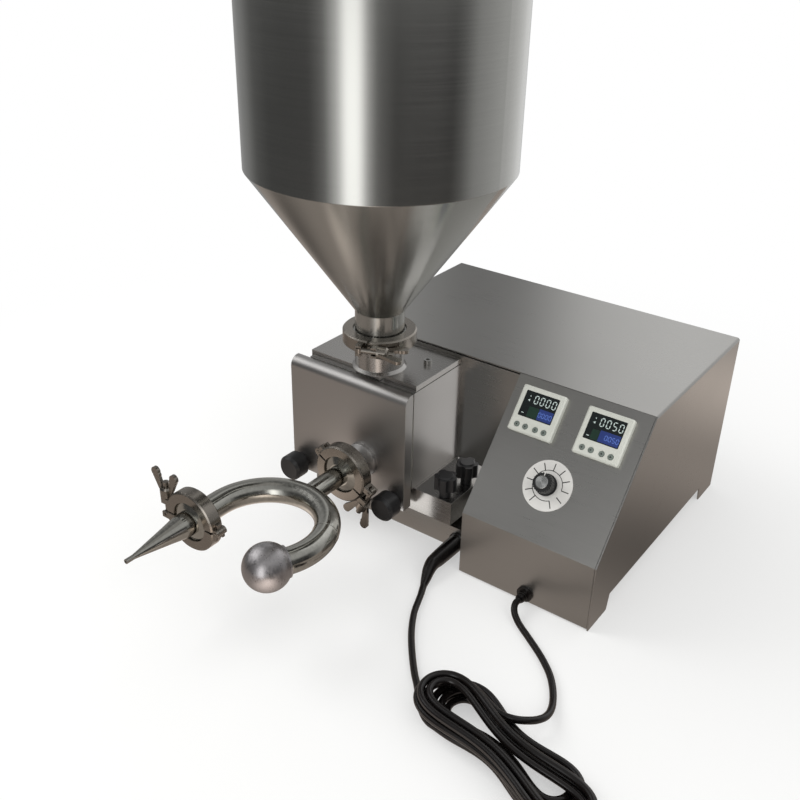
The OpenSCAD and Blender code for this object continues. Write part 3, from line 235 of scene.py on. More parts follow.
# plates of the same steel, ground all over: crisper reflections
blockSteel = metal("groundBlockSteel", "#b3b1ae", 0.25, 0.035, 0.4, (40, 1, 1), height=0.002, darken=0.95,
                   tangent=(0, 0.6, 0.8), anisotropy=0.25, smudge=50)
# the pump's body was milled and bead-blasted, so it glows rather than mirrors
housingSteel = metal("blastedHousingSteel", "#bcbab8", 0.38, 0.04, 0.5, (1, 1, 1), height=0.01, darken=0.92,
                     smudge=45)
# spun hopper: the belt went round it, so lights are drawn out up and down
hopperSteel = metal("spunHopperSteel", "#b4b4b0", 0.2, 0.02, 0.6, (150, 150, 1), edge=1.2, height=0.002,
                    darken=0.95, tangent=(0, 0, 1), anisotropy=0.75, smudge=140)
# drawn sanitary tube, polished
tubeSteel = metal("polishedTubeSteel", "#bab9b2", 0.14, 0.04, 0.8, (4, 4, 4), edge=0.3, height=0.006, smudge=22)
# investment-cast clamps, barrel polished: soft skin with small dimples
clampSteel = metal("castClampSteel", "#9c968e", 0.24, 0.05, 2.4, (1, 1, 1), edge=0.6, height=0.004, darken=0.9,
                   smudge=12)
# pressed dome, satin after pickling: one broad blurred light
capSteel = metal("satinCapSteel", "#b3b0b1", 0.34, 0.08, 1.5, (1, 1, 2), edge=0.4, height=0.02, smudge=14)
# rolled and plated screws: small bright sparks
screwSteel = metal("brightScrewSteel", "#c6c5c2", 0.2, 0.05, 0.3, (1, 1, 1), edge=0.2, smudge=6)
# ground bar of the shafts and rotors: fine lines along the axis
shaftSteel = metal("groundShaftSteel", "#b0b0b2", 0.2, 0.05, 0.3, (1, 40, 1), edge=0.3, smudge=20)
# sintered oil bronze: warm and dull, full of pores
bronze = metal("sinteredBronze", "#b98a55", 0.42, 0.08, 0.5, (1, 1, 1), edge=0.3, smudge=8)
# zinc-plated can of the potentiometer: cold grey with soft spangles
canZinc = metal("zincPlatedCan", "#a9aaac", 0.34, 0.08, 1.2, (1, 1, 1), edge=0.2, smudge=6)
# moulded ABS of the counters' cases: fine spark-eroded skin, cream gone slightly grey
counterAbs = plastic("creamMouldedAbs", "#dcddd4", 0.42, 0.35, second="#d3d5cb")
# moulded silicone keys: dry, almost no shine
keyRubber = plastic("greyKeySilicone", "#79837c", 0.6, 0.3, second="#6d7770")
# screen-printed rigid PVC sheet: smooth white with a faint gloss
dialPvc = plastic("printedDialPvc", "#e6e4df", 0.35, 0.5, height=0.006, second="#dedcd8")
# compression-moulded phenolic: deep black with a waxy light on its edges
knobPhenolic = plastic("blackPhenolic", "#1a1a1b", 0.33, 0.5, height=0.01, edge=0.5, second="#232324")
# moulded red nylon: glossy, a little uneven
rockerRed = plastic("redRockerNylon", "#a3201a", 0.3, 0.6, second="#92190f")
# moulded grey nylon: a dull, even light
treadlePlastic = plastic("darkGreyNylon", "#2f3235", 0.5, 0.4, second="#292b2e")
# food-grade silicone: milky, light sinks in a little
gasketSilicone = plastic("foodSilicone", "#dcd9ce", 0.55, 0.8, second="#d2cfc2", Subsurface_Weight=0.1)
# stoved enamel on the gear motor: orange peel
motorPaint = plastic("greyMotorEnamel", "#5b6167", 0.38, 0.9, height=0.03, second="#52585e")
# solder mask over glass fibre: satin green, a little wavy
boardGlass = plastic("greenSolderMask", "#1d5a33", 0.35, 1.2, height=0.05, second="#184c2b")
# extruded PVC sheath: black, with a thin bright line along each strand
cordPvc = plastic("blackCordPvc", "#0d0b0c", 0.19, 0.8, height=0.006, vary=0.04, second="#15110f")
# tinted acrylic window: nearly black, with sharp reflections
windowAcrylic = plastic("darkWindowAcrylic", "#141c1c", 0.12, 2.0, height=0.001, second="#101717")

finishOfNode = {
    sheetSteel: ["cabinet_shell", "front_panel", "console_panel", "rear_panel", "base_pan", "motor_bracket"],
    blockSteel: ["top_plate", "pump_base"],
    housingSteel: ["pump_housing", "front_cover"],
    hopperSteel: ["hopper"],
    tubeSteel: ["manifold", "nozzle"],
    clampSteel: [f"{which}_clamp{end}" for which in ("hopper", "outlet", "nozzle")
                 for end in ("", "_bolt", "_nut")],
    capSteel: ["end_cap"],
    screwSteel: ["panel_screws"],
    shaftSteel: ["coupling", "drive_shaft", "drive_rotor", "driven_rotor"],
    bronze: ["shaft_bearings"],
    canZinc: ["speed_pot"],
    counterAbs: ["counter_left", "counter_right"],
    keyRubber: [f"key_{side}_{k}" for side in ("left", "right") for k in (1, 2, 3, 4)],
    dialPvc: ["dial_plate"],
    knobPhenolic: ["speed_knob", "rocker_frame", "cover_knob_left", "cover_knob_right", "base_knob_front",
                   "base_knob_rear", "pedal_base"],
    rockerRed: ["rocker_switch"],
    treadlePlastic: ["pedal_treadle"],
    gasketSilicone: ["seals"],
    motorPaint: ["gearmotor"],
    boardGlass: ["control_board"],
    cordPvc: ["cord_glands", "power_cord", "power_hank", "power_plug", "pedal_cord", "pedal_hank"],
    windowAcrylic: ["counter_windows"],
}
for material, nodeNames in finishOfNode.items():
    for nodeName in nodeNames:
        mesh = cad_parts[nodeName].data
        mesh.materials.clear()
        mesh.materials.append(material)
        for face in mesh.polygons:
            face.material_index = 0
print("materials made")

# cords: the same ways as in the CAD source, in millimetres
cords = {"diameter": 6.6, "hankStep": 7.6, "layer": 7.2, "waist": 4.5, "lobe": 27.0, "pileTurn": -24,
         "lead": 10}
powerRoute = [
    (135.5, -41, 11), (135.5, -48, 11), (138.5, -55, 8.5), (145, -61, 5.5), (153.5, -66.5, 3.5),
    (162, -72, 3.5), (171, -78, 3.5), (180, -84, 3.5), (189, -90.5, 3.5), (197.5, -97.5, 3.5),
    (205.5, -105, 3.5), (212.5, -113.5, 3.5), (218.5, -122.5, 3.5), (223.5, -132, 4), (227.5, -142.5, 6),
    (229.5, -153.5, 9), (228.5, -164.5, 13), (223, -175.5, 17), (212.5, -183, 18.4), (200, -184.5, 17.9)]
pedalRoute = [
    (35.5, -38, 11), (35.5, -45, 11), (37, -54, 9), (40, -63.5, 5.5), (44, -74, 3.5), (49, -85, 3.5),
    (53.5, -96.5, 3.5), (58, -108, 3.5), (63.5, -119, 3.5), (70, -130, 3.5), (77, -140.5, 3.5),
    (84.5, -150.5, 3.5), (92.5, -160.5, 3.5), (100.5, -170, 3.5), (109, -179.5, 3.5), (118, -188.5, 3.5),
    (127, -198.5, 3.5), (137.5, -209.5, 3.5)]
powerTail = [
    (84, -12.5, 25.1), (94, -11, 24.5), (104, -12, 22.5), (115, -16, 19.5), (126, -22, 16.5),
    (136, -29.5, 15), (144.5, -38.5, 15), (151, -48.5, 16), (155, -58.5, 17.3), (156, -68, 17.5),
    (156, -76, 17.5)]
pedalTail = [
    (56, -22, 10.7), (66, -22.5, 10.5), (76, -25.5, 9), (85, -31.5, 7.5), (91.5, -39.5, 7),
    (95.5, -49, 7), (97.5, -59, 7.5), (98, -69, 8), (98, -78, 8)]
# middle, half-length, rings in, rings out, first angle, turn on the table, height of the first layer
powerPile = ((223, -216), 83, 45, 40, 133, 9, 17.9)
pedalPile = ((218, -203), 64, 50, 52, 224, 9, 3.5)


def turned(x, y, degrees):
    c, s = math.cos(math.radians(degrees)), math.sin(math.radians(degrees))
    return x * c - y * s, x * s + y * c


def hankPoint(pile, ring):
    middle, half, ringsIn, _, first, tilt, height = pile
    a = math.radians(first + ring * 15)
    c, s = math.cos(a), math.sin(a)
    offset = cords["hankStep"] * abs(ring - ringsIn) / 24
    wayX = -half * s
    wayY = c * (cords["waist"] + cords["lobe"] * c * c - 2 * cords["lobe"] * s * s)
    long = math.hypot(wayX, wayY)
    x = half * c + offset * wayY / long
    y = s * (cords["waist"] + cords["lobe"] * c * c) - offset * wayX / long
    x, y = turned(x, y, tilt + cords["pileTurn"])
    t = min(1, max(0, (ring - ringsIn) / 12 + 0.5))
    return Vector((middle[0] + x, middle[1] + y, height + cords["layer"] * t * t * (3 - 2 * t)))


def fromMiddle(pile, point):
    x, y = turned(point[0], point[1], cords["pileTurn"])
    return Vector((pile[0][0] + x, pile[0][1] + y, point[2]))


def cordPath(route, pile, tail):
    way = hankPoint(pile, 0.001) - hankPoint(pile, 0)
    way = Vector((way.x, way.y, 0)).normalized()
    start = hankPoint(pile, 0) - cords["lead"] * way
    points = [Vector(p) for p in route] + [start - 8 * way, start]
    points += [hankPoint(pile, i / 2) for i in range(2 * (pile[2] + pile[3]) + 1)]
    points += [fromMiddle(pile, p) for p in tail]
    return [p * mm for p in points]


def tubeAlong(name, points, depth, steps, roundness, swell=None):
    # a round tube through the points; swell says how many depths thick it is at each of them
    curve = bpy.data.curves.new(name, "CURVE")
    curve.dimensions = "3D"
    curve.resolution_u = steps
    curve.bevel_depth = depth
    curve.bevel_resolution = roundness
    curve.use_fill_caps = True
    spline = curve.splines.new("BEZIER")
    spline.bezier_points.add(len(points) - 1)
    for k, (knot, point) in enumerate(zip(spline.bezier_points, points)):
        knot.co = point
        knot.handle_left_type = knot.handle_right_type = "AUTO"
        if swell:
            knot.radius = swell[k]
    piece = bpy.data.objects.new(name, curve)
    bpy.context.scene.collection.objects.link(piece)
    return piece


def cordCurve(name, points):
    return tubeAlong(name, points, cords["diameter"] / 2 * mm, 3, 5)


def pathLength(points):
    return sum((b - a).length for a, b in zip(points, points[1:]))


powerPath = cordPath(powerRoute, powerPile, powerTail)
pedalPath = cordPath(pedalRoute, pedalPile, pedalTail)
powerCord = finishPiece(cordCurve("powerCord", powerPath), "machine", cordPvc)
pedalCord = finishPiece(cordCurve("pedalCord", pedalPath), "machine", cordPvc)
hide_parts("power_cord", "power_hank")
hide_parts("pedal_cord", "pedal_hank")
print("cords made:", round(pathLength(powerPath), 3), "m and", round(pathLength(pedalPath), 3), "m")


# strain reliefs: a flanged grommet and a tapered boot, ribbed on the mains lead, smooth on the pedal's
boots = {"powerPlace": (135.5, -29, 11), "powerLong": 12, "ribs": 3, "ribStep": 2.8,
         "pedalPlace": (35.5, 2, 11), "pedalLong": 40, "cordHole": 3.4,
         "sleeveLong": 0.046, "sleeveRings": (8.3, 8.0, 7.4, 6.5, 5.5, 4.6, 3.9, 3.45)}


def onFront(x, y, z):
    # +Z of the piece looks to the front
    return Matrix.Translation((x * mm, y * mm, z * mm)) @ Matrix.Rotation(math.pi / 2, 4, "X")


def sleeve(name, points, long, rings):
    # rubber drawn over the cord's first stretch; ring radii in millimetres, shared out along it
    stations, gone = [points[0]], 0
    for before, after in zip(points, points[1:]):
        gone += (after - before).length
        stations.append(after)
        if gone > long:
            break
    swell = []
    for k, station in enumerate(stations):
        along = k / (len(stations) - 1) * (len(rings) - 1)
        low = min(int(along), len(rings) - 2)
        radius = rings[low] + (rings[low + 1] - rings[low]) * (along - low)
        # no fatter than its height, so that it lies on the table and not in it
        swell.append(min(radius, station.z / mm))
    piece = tubeAlong(name, stations, mm, 8, 7, swell)
    deselectAll()
    piece.select_set(True)
    bpy.context.view_layer.objects.active = piece
    bpy.ops.object.convert(target="MESH")
    return bpy.context.object


# (height, radius): neck in the panel's hole, flange, then ribs that get thinner, and the cord's hole
powerRings = [(-3.5, 6), (-0.01, 6), (0, 8.4), (2.4, 8.4), (3, 7.8)]
for k in range(boots["ribs"]):
    foot = boots["ribStep"] * k
    powerRings += [(3.2 + foot, 5.9 - 0.5 * k), (4.6 + foot, 5.8 - 0.5 * k), (4.8 + foot, 4.7 - 0.3 * k),
                   (5.8 + foot, 4.6 - 0.3 * k)]
powerRings += [(boots["powerLong"], 4.2), (boots["powerLong"] + 0.01, boots["cordHole"])]
powerBoot = settle(turnedPiece("powerBoot", powerRings), onFront(*boots["powerPlace"]))
pedalRings = [(-3.5, 6), (-0.01, 6), (0, 10.4), (2.2, 10.4), (2.9, 9.9), (3.3, 9.1), (10, 9.1), (20, 8.95),
              (30, 8.7),
              (boots["pedalLong"], 8.3), (boots["pedalLong"] + 0.01, boots["cordHole"])]
pedalBoot = settle(turnedPiece("pedalBoot", pedalRings), onFront(*boots["pedalPlace"]))
pedalSleeve = sleeve("pedalSleeve", pedalPath, boots["sleeveLong"], boots["sleeveRings"])
for piece in (powerBoot, pedalBoot, pedalSleeve):
    finishPiece(piece, "machine", cordPvc)
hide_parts("cord_glands")
print("strain reliefs made")

# the console's slope: +X right, +Y up the slope, +Z out of it
console = {"front": 69, "top": 193, "deep": 98, "fall": 118.5, "counterX": (93.1, 164.8), "counterDown": 34.5,
           "dialX": 130.1, "dialDown": 97.6}
slopeAngle = math.atan2(console["fall"], console["deep"])


def onSlope(x, down):
    return (Matrix.Translation((x * mm, (console["front"] - down * math.cos(slopeAngle)) * mm,
                                (console["top"] - down * math.sin(slopeAngle)) * mm))
            @ Matrix.Rotation(slopeAngle, 4, "X"))


def thinPlate(name, x, y, wide, high, z, thick=0.05, corner=0.0):
    deselectAll()
    bpy.ops.mesh.primitive_plane_add(size=1, location=(x * mm, y * mm, z * mm))
    piece = bpy.context.object
    piece.name = name
    piece.scale = (wide * mm, high * mm, 1)
    bpy.ops.object.transform_apply(location=True, rotation=True, scale=True)
    editPiece(piece)
    bpy.ops.mesh.select_all(action="SELECT")
    if corner:
        bpy.ops.mesh.bevel(offset=corner * mm, affect="VERTICES", segments=4)
        bpy.ops.mesh.select_all(action="SELECT")
    bpy.ops.mesh.extrude_region_move(TRANSFORM_OT_translate={"value": (0, 0, thick * mm)})
    leaveEdit()
    return piece


# liquid crystal digits: pale strokes over a dark field, with a blue and a green backlit corner
digitShape = {"0": "abcdef", "5": "acdfg"}
strokePlaces = {"a": (0, 1, 0), "b": (0.5, 0.5, 1), "c": (0.5, -0.5, 1), "d": (0, -1, 0), "e": (-0.5, -0.5, 1),
                "f": (-0.5, 0.5, 1), "g": (0, 0, 0)}


def digit(mark, x, y, wide, high, stroke, z):
    strokes = []
    for letter in digitShape[mark]:
        acrossPart, upPart, standing = strokePlaces[letter]
        long = (high / 2 if standing else wide) * 0.94
        deselectAll()
        bpy.ops.mesh.primitive_cylinder_add(vertices=6, radius=0.5 * mm, depth=0.05 * mm)
        bar = bpy.context.object
        bar.scale = (long, stroke / math.sin(math.pi / 3), 1)
        bar.rotation_euler = (0, 0, math.pi / 2 * standing)
        bpy.ops.object.transform_apply(location=False, rotation=True, scale=True)
        bar.location = ((x + acrossPart * wide) * mm, (y + upPart * high / 2) * mm, z * mm)
        strokes.append(bar)
    return strokes


# window size and place on the counter in millimetres; starts and steps of the digits are shares of its width
display = {
    "wide": 37, "high": 27, "up": 5.5, "top": 6.5,
    "big": {"wide": 3.6, "high": 7.8, "stroke": 0.95, "start": 0.36, "step": 0.177, "down": 0.27,
            "lift": 0.05},
    "small": {"wide": 2.5, "high": 4.6, "stroke": 0.65, "start": 0.6, "step": 0.105, "down": 0.76,
              "lift": 0.07},
}


def glowing(material, colour):
    material.node_tree.nodes["Principled BSDF"].inputs["Emission Color"].default_value = linearColour(colour)
    return material


# liquid crystal strokes and fields, lit from behind: flat colour with a weak glow
paleDigits = glowing(plastic("paleLcdDigits", "#c3d2cd", 0.5, 0.5, height=0.001, Emission_Strength=0.25),
                     "#b9c7c3")
blueField = glowing(plastic("blueLcdField", "#22387c", 0.35, 2.0, height=0.001, second="#1d2f6b",
                            Emission_Strength=0.12), "#22387c")
blueDigits = glowing(plastic("blueLcdDigits", "#5f7fd2", 0.5, 0.5, height=0.001, Emission_Strength=0.2),
                     "#5f7fd2")
greenField = plastic("greenLcdField", "#16382a", 0.35, 2.0, height=0.001, second="#123022")
# digits shown, and each backlit field's left, right, top and bottom edge as shares of the window
displayLooks = {
    "left": {"x": console["counterX"][0], "big": "0000", "small": "0000",
             "blue": (0.55, 0.97, 0.54, 0.96), "green": (0.24, 0.545, 0.56, 0.96)},
    "right": {"x": console["counterX"][1], "big": "0050", "small": "0050",
              "blue": (0.4, 0.97, 0.54, 0.96), "green": (0.18, 0.395, 0.58, 0.96)},
}
windowLeft, windowTop = -display["wide"] / 2, display["up"] + display["high"] / 2


def inWindow(across, down):
    # millimetres on the counter's face, from shares of the window
    return windowLeft + display["wide"] * across, windowTop - display["high"] * down


def digitRow(kind, marks):
    row, strokes = display[kind], []
    for k, mark in enumerate(marks):
        x, y = inWindow(row["start"] + row["step"] * k, row["down"])
        strokes += digit(mark, x, y, row["wide"], row["high"], row["stroke"], display["top"] + row["lift"])
    return strokes


for side, look in displayLooks.items():
    place = onSlope(look["x"], console["counterDown"])
    for name, material in (("blue", blueField), ("green", greenField)):
        a0, a1, b0, b1 = look[name]
        field = thinPlate(name + "Field" + side.capitalize(), *inWindow((a0 + a1) / 2, (b0 + b1) / 2),
                          display["wide"] * (a1 - a0), display["high"] * (b1 - b0),
                          display["top"] + 0.01, 0.03)
        finishPiece(settle(field, place), "machine", material)
    strokes = digitRow("big", look["big"])
    # set-point arrow and a bar before the digits
    for x, y, size in ((0.16, 0.35, 1.5), (0.16, 0.19, 0.9)):
        deselectAll()
        spot = Vector((*inWindow(x, y), display["top"] + 0.05)) * mm
        bpy.ops.mesh.primitive_cylinder_add(vertices=3, radius=size * mm, depth=0.05 * mm,
                                            rotation=(0, 0, -math.pi / 6), location=spot)
        strokes.append(bpy.context.object)
    strokes.append(thinPlate("bar", *inWindow(0.11, 0.86), 2.6, 0.8, display["top"] + 0.03))
    digits = joinPieces("bigDigits" + side.capitalize(), strokes)
    finishPiece(settle(digits, place), "machine", paleDigits)
    digits = joinPieces("smallDigits" + side.capitalize(), digitRow("small", look["small"]))
    finishPiece(settle(digits, place), "machine", blueDigits)
    # arrow printed on each key
    for k, turnBy in enumerate((90, 180, 0, 270)):
        deselectAll()
        bpy.ops.mesh.primitive_cylinder_add(vertices=3, radius=1.25 * mm, depth=0.04 * mm,
                                            rotation=(0, 0, math.radians(turnBy)))
        arrow = bpy.context.object
        arrow.name = f"keyArrow{side.capitalize()}{k + 1}"
        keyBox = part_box(f"key_{side}_{k + 1}")
        middle = (Vector(keyBox[0]) + Vector(keyBox[1])) / 2
        # the key's top lies where the slope's normal leaves its box
        local = place.inverted() @ middle
        points = [place.inverted() @ v.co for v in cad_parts[f"key_{side}_{k + 1}"].data.vertices]
        local.z = max(p.z for p in points) + 0.00002
        finishPiece(settle(arrow, place @ Matrix.Translation(local)), f"key_{side}_{k + 1}", knobPhenolic)
print("displays made")

# speed dial: eleven ticks and an arc printed on the plate, a spun cap and a line on the knob
dial = {"ticks": 11, "swing": 300, "tickIn": 15.2, "tickOut": 22.8, "thick": 0.95, "plateTop": 1.0,
        "arcThick": 0.7, "inkHigh": 0.06, "capTop": 18.3, "capRadius": 6.5, "pointerOut": 8.35,
        "pointerWide": 0.8, "pointerLong": 3.4, "pointerDown": 0.28}
dialPlace = onSlope(console["dialX"], console["dialDown"])
printBlack = plastic("blackScreenPrint", "#1c1b1c", 0.45, 0.6, height=0.002)
tick = thinPlate("tick", 0, (dial["tickIn"] + dial["tickOut"]) / 2, dial["thick"],
                 dial["tickOut"] - dial["tickIn"], dial["plateTop"], dial["inkHigh"])
ticks = []
for k in range(dial["ticks"]):
    copy = tick.copy()
    copy.data = tick.data.copy()
    bpy.context.scene.collection.objects.link(copy)
    copy.rotation_euler = (0, 0, math.radians(dial["swing"] * (0.5 - k / (dial["ticks"] - 1))))
    ticks.append(copy)
bpy.data.objects.remove(tick)
# the arc is one short bar whose end face is spun round the dial
arc = thinPlate("arc", dial["tickIn"], 0, dial["arcThick"], 0.1, dial["plateTop"], dial["inkHigh"])
arcMesh = editPiece(arc)
bpy.ops.mesh.select_all(action="DESELECT")
for face in arcMesh.faces:
    face.select = face.normal.y > 0.9
bpy.ops.mesh.spin(steps=60, angle=math.radians(dial["swing"]), center=(0, 0, 0), axis=(0, 0, 1))
leaveEdit()
arc.rotation_euler = (0, 0, math.radians(90 - dial["swing"] / 2))
dialMarks = joinPieces("dialMarks", ticks + [arc])
finishPiece(settle(dialMarks, dialPlace), "machine", printBlack)

spunCap = metal("spunAluminiumCap", "#d3d4d3", 0.22, 0.05, 0.3, (1, 1, 1), edge=0.15, height=0.004, smudge=5,
                anisotropy=0.85)
tree = spunCap.node_tree
place = addNode(tree, "ShaderNodeTexCoord")
# grooves run round the cap's middle, so the light makes two fans
fromAxis = addNode(tree, "ShaderNodeVectorMath", {"operation": "SUBTRACT", 1: tuple(dialPlace.translation)},
                   {0: (place, "Object")})
outWay = addNode(tree, "ShaderNodeVectorMath", {"operation": "NORMALIZE"}, {0: fromAxis})
tree.links.new(outWay.outputs[0], tree.nodes["Principled BSDF"].inputs["Tangent"])
top = dial["capTop"]
# (height over capTop, radius): bevelled edge, then a slightly hollow face
capRings = [(-1.2, 6.2), (-0.2, dial["capRadius"]), (0.25, 6.2), (0.35, 5.8), (0.3, 5.2), (0.25, 2.0),
            (0.25, 0.3)]
cap = turnedPiece("knobCap", [(top + high, radius) for high, radius in capRings])
finishPiece(settle(cap, dialPlace), "speed_knob", spunCap)
pointer = thinPlate("knobPointer", 0, dial["pointerOut"], dial["pointerWide"], dial["pointerLong"],
                    top - dial["pointerDown"], 0.1)
finishPiece(settle(pointer, dialPlace), "speed_knob", dialPvc)
print("dial made")

# mains rocker: I on its upper half and O on its lower one; angles are how far each half leans
rocker = {"axis": (159.5, 287.0, 46.0), "onFace": (5.9, 4.95, 14.7), "offFace": (7.3, -4.55, -30.7),
          "markLong": 4.4, "markWide": 0.9, "markHigh": 0.12, "ringRadius": 1.8, "ringThick": 0.42}


def onRocker(out, up, lean):
    # +Z out of the half, +Y up it, seen from behind
    x, y, z = rocker["axis"]
    place = Matrix.Translation((x * mm, (y + out) * mm, (z + up) * mm))
    facingBack = place @ Matrix.Rotation(math.pi, 4, "Z")
    return facingBack @ Matrix.Rotation(math.pi / 2 + math.radians(lean), 4, "X")


onMark = thinPlate("onMark", 0, 0, rocker["markWide"], rocker["markLong"], 0.0, rocker["markHigh"])
finishPiece(settle(onMark, onRocker(*rocker["onFace"])), "rocker_switch", dialPvc)
deselectAll()
bpy.ops.mesh.primitive_torus_add(major_radius=rocker["ringRadius"] * mm, minor_radius=rocker["ringThick"] * mm,
                                 major_segments=32, minor_segments=8)
offMark = bpy.context.object
offMark.name = "offMark"
offMark.scale = (1, 1.15, 0.3)
finishPiece(settle(offMark, onRocker(*rocker["offFace"])), "rocker_switch", dialPvc)
print("switch marked")

# the room: a pale floor, soft lamps and cards that only shiny surfaces see
room = {
    "floorColour": "#f4f4f2", "floorRadius": 8.0, "skyForDiffuse": 0.78,
    "keyPlace": (-1.7, -0.5, 1.6), "keySize": 1.3, "keyPower": 26,
    "fillPlace": (1.7, -0.6, 1.2), "fillSize": 1.4, "fillPower": 8,
    "cardRadius": 0.82, "cardHeight": 2.4, "cardPower": 2.2, "ceilingTone": 0.16,
}


def seenDirectly(tree):
    # 1 for what the camera sees straight, mirrored or through glass, else 0
    rays = addNode(tree, "ShaderNodeLightPath")
    seen = addNode(tree, "ShaderNodeMath", {"operation": "MAXIMUM"},
                   {0: (rays, "Is Camera Ray"), 1: (rays, "Is Glossy Ray")})
    return addNode(tree, "ShaderNodeMath", {"operation": "MAXIMUM"},
                   {0: seen, 1: (rays, "Is Transmission Ray")})


def toneRamp(tree, share, stops):
    # stops are (position from 0 to 1, tone)
    ramp = addNode(tree, "ShaderNodeValToRGB", {}, {0: share})
    elements = ramp.color_ramp.elements
    elements.remove(elements[1])
    for k, (at, tone) in enumerate(stops):
        stop = elements[0] if k == 0 else elements.new(at)
        stop.position = at
        stop.color = (tone, tone, tone, 1)
    return ramp


def disc(name, radius, height, turnAbout=(0, 0, 0)):
    deselectAll()
    bpy.ops.mesh.primitive_circle_add(vertices=96, radius=radius, fill_type="NGON", location=(0, 0, height),
                                      rotation=turnAbout)
    piece = bpy.context.object
    piece.name = name
    return piece


floor = disc("paleFloor", room["floorRadius"], -0.0002)
floorMaterial, tree, shader = startMaterial("paleFloorPaint", room["floorColour"], 0.9)
shader.inputs["Specular IOR Level"].default_value = 0.2
# away from the machine the floor runs into the white backdrop
place = addNode(tree, "ShaderNodeTexCoord")
reach = addNode(tree, "ShaderNodeVectorMath", {"operation": "LENGTH"}, {0: (place, "Object")})
faded = addNode(tree, "ShaderNodeMapRange",
                {"From Min": 0.3, "From Max": 0.9, "To Min": 0.45, "interpolation_type": "SMOOTHSTEP"},
                {"Value": (reach, 1)})
share = addNode(tree, "ShaderNodeMath", {"operation": "MULTIPLY"}, {0: faded, 1: seenDirectly(tree)})
white = addNode(tree, "ShaderNodeEmission", {"Color": (1, 1, 1, 1), "Strength": 1.0})
both = addNode(tree, "ShaderNodeMixShader", {}, {0: share, 1: shader, 2: white})
tree.links.new(both.outputs[0], tree.nodes["Material Output"].inputs["Surface"])
floor.data.materials.append(floorMaterial)

world = bpy.data.worlds.new("whiteRoom")
world.use_nodes = True
bpy.context.scene.world = world
tree = world.node_tree
tree.nodes.clear()
level = addNode(tree, "ShaderNodeMapRange", {"To Min": room["skyForDiffuse"], "To Max": 1.0},
                {"Value": seenDirectly(tree)})
sky = addNode(tree, "ShaderNodeBackground", {"Color": (1, 1, 1, 1)}, {"Strength": level})
addNode(tree, "ShaderNodeOutputWorld", {}, {"Surface": sky})


def softLamp(name, place, size, power):
    lamp = bpy.data.lights.new(name, "AREA")
    lamp.size = size
    lamp.energy = power
    piece = bpy.data.objects.new(name, lamp)
    bpy.context.scene.collection.objects.link(piece)
    piece.location = place
    piece.rotation_euler = (Vector((0, 0, 0.15)) - Vector(place)).to_track_quat("-Z", "Y").to_euler()


softLamp("keyLamp", room["keyPlace"], room["keySize"], room["keyPower"])
softLamp("fillLamp", room["fillPlace"], room["fillSize"], room["fillPower"])


def cardLike(piece, name, makeTone):
    # glows as makeTone says, and only shiny surfaces see it, from the side its faces look to
    material = bpy.data.materials.new(name)
    material.use_nodes = True
    tree = material.node_tree
    tree.nodes.clear()
    glow = addNode(tree, "ShaderNodeEmission", {"Strength": room["cardPower"]})
    tree.links.new(*makeTone(tree, glow))
    facing = addNode(tree, "ShaderNodeNewGeometry")
    clear = addNode(tree, "ShaderNodeBsdfTransparent")
    shown = addNode(tree, "ShaderNodeMixShader", {}, {0: (facing, "Backfacing"), 1: glow, 2: clear})
    addNode(tree, "ShaderNodeOutputMaterial", {}, {"Surface": shown})
    piece.data.materials.append(material)
    piece.visible_camera = piece.visible_diffuse = piece.visible_shadow = False
    piece.visible_transmission = piece.visible_volume_scatter = False


# card wall: degrees from the front, to the right, and the tone there, low down and high up
lowTones = [(-180, 0.42), (-166, 0.36), (-157, 0.13), (-150, 0.1), (-140, 0.2), (-88, 0.13), (-74, 0.06),
            (-58, 0.035), (-20, 0.04), (-9, 0.1), (1, 0.4), (8, 1.0), (16, 1.0), (23, 0.3), (30, 0.09),
            (44, 0.03),
            (62, 0.02), (90, 0.022), (100, 0.07), (112, 0.17), (145, 0.27), (166, 0.37), (180, 0.42)]
highTones = [(-180, 0.44), (-166, 0.38), (-158, 0.14), (-150, 0.1), (-146, 0.13), (-134, 0.28), (-116, 0.08),
             (-60, 0.05), (-38, 0.1), (-26, 0.13), (-8, 0.15), (20, 0.2), (66, 0.2), (120, 0.24), (150, 0.36),
             (180, 0.44)]


def wallTone(tree, glow):
    place = addNode(tree, "ShaderNodeTexCoord")
    split = addNode(tree, "ShaderNodeSeparateXYZ", {}, {0: (place, "Object")})
    back = addNode(tree, "ShaderNodeMath", {"operation": "MULTIPLY", 1: -1.0}, {0: (split, 1)})
    angle = addNode(tree, "ShaderNodeMath", {"operation": "ARCTAN2"}, {0: (split, 0), 1: back})
    share = addNode(tree, "ShaderNodeMapRange", {"From Min": -math.pi, "From Max": math.pi}, {"Value": angle})
    low, high = [toneRamp(tree, share, [((degrees + 180) / 360, tone) for degrees, tone in stops])
                 for stops in (lowTones, highTones)]
    climb = addNode(tree, "ShaderNodeMapRange", {"From Min": 0.4, "From Max": 0.78,
                                                       "interpolation_type": "SMOOTHSTEP"},
                    {"Value": (split, 2)})
    mixed = addNode(tree, "ShaderNodeMix", {"data_type": "RGBA"}, {0: climb, 6: low, 7: high})
    return mixed.outputs[2], glow.inputs["Color"]


# floor card: a warm grey with lighter and darker patches, as (x, y, radius, tone added)
floorTone, floorTint = 0.15, (1.12, 0.98, 0.88)
patches = [(0.16, -0.39, 0.2, 0.6), (0.03, -0.31, 0.13, 0.4), (-0.16, -0.14, 0.08, 0.3), (-0.45, 0.0, 0.25, -0.09),
           (-0.035, -0.08, 0.09, -0.13), (0.3, 0.56, 0.22, 0.16), (0.24, 0.12, 0.2, -0.09)]


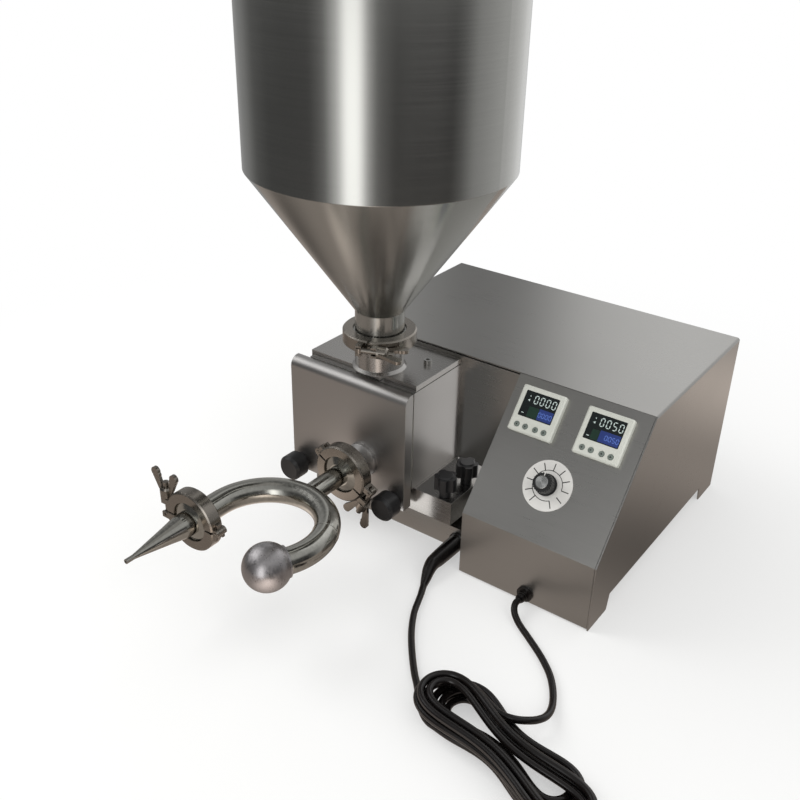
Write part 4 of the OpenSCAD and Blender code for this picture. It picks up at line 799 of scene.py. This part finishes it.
def floorCardTone(tree, glow):
    place = addNode(tree, "ShaderNodeTexCoord")
    total = addNode(tree, "ShaderNodeValue")
    total.outputs[0].default_value = floorTone
    for x, y, radius, tone in patches:
        away = addNode(tree, "ShaderNodeVectorMath", {"operation": "DISTANCE", 1: (x, y, 0.0004)},
                       {0: (place, "Object")})
        patch = addNode(tree, "ShaderNodeMapRange",
                        {"From Min": radius, "From Max": 0.0, "To Max": tone, "interpolation_type": "SMOOTHSTEP"},
                        {"Value": (away, 1)})
        total = addNode(tree, "ShaderNodeMath", {"operation": "ADD"}, {0: total, 1: patch})
    warm = addNode(tree, "ShaderNodeVectorMath", {"operation": "SCALE", 0: floorTint}, {"Scale": total})
    return warm.outputs[0], glow.inputs["Color"]


def steadyTone(tone):
    def makeTone(tree, glow):
        steady = addNode(tree, "ShaderNodeRGB")
        steady.outputs[0].default_value = (tone, tone * 0.98, tone * 0.96, 1)
        return steady.outputs[0], glow.inputs["Color"]

    return makeTone


def kickerCard(name, place, wide, high, turnAbout, tone):
    # small one-sided card that fills a dark corner of the steel
    deselectAll()
    bpy.ops.mesh.primitive_plane_add(size=1, location=place, rotation=turnAbout)
    piece = bpy.context.object
    piece.name = name
    piece.scale = (wide, high, 1)
    settle(piece)
    cardLike(piece, name + "Card", steadyTone(tone))


deselectAll()
bpy.ops.mesh.primitive_cylinder_add(vertices=128, radius=room["cardRadius"], depth=room["cardHeight"],
                                    end_fill_type="NOTHING", location=(0, 0, room["cardHeight"] / 2))
cardWall = bpy.context.object
cardWall.name = "cardWall"
editPiece(cardWall)
bpy.ops.mesh.select_all(action="SELECT")
bpy.ops.mesh.flip_normals()
leaveEdit(makeConsistent=False)
settle(cardWall)
cardLike(cardWall, "greyCards", wallTone)
floorCard = settle(disc("floorCard", room["cardRadius"], 0.0004))
cardLike(floorCard, "warmGreyCard", floorCardTone)
ceilingCard = settle(disc("ceilingCard", room["cardRadius"], room["cardHeight"], (math.pi, 0, 0)))
cardLike(ceilingCard, "ceilingCard", steadyTone(room["ceilingTone"]))
# between pump and console, one card for each side of the gap, and one under the front cover's edge
kickers = {
    "gapKickerFront": {"place": (0.024, 0.0675, 0.115), "wide": 0.07, "high": 0.15,
                       "turnAbout": (math.pi / 2, 0, 0), "tone": 0.32},
    "gapKickerSide": {"place": (-0.0115, 0.027, 0.115), "wide": 0.11, "high": 0.075,
                      "turnAbout": (0, math.pi / 2, 0), "tone": 0.06},
    "coverKicker": {"place": (-0.035, -0.047, 0.024), "wide": 0.045, "high": 0.038,
                    "turnAbout": (-math.pi / 2, 0, 0), "tone": 0.7},
}
for name, values in kickers.items():
    kickerCard(name, **values)
print("room lit")

bpy.context.scene.view_settings.view_transform = "Standard"
print("scene ready")
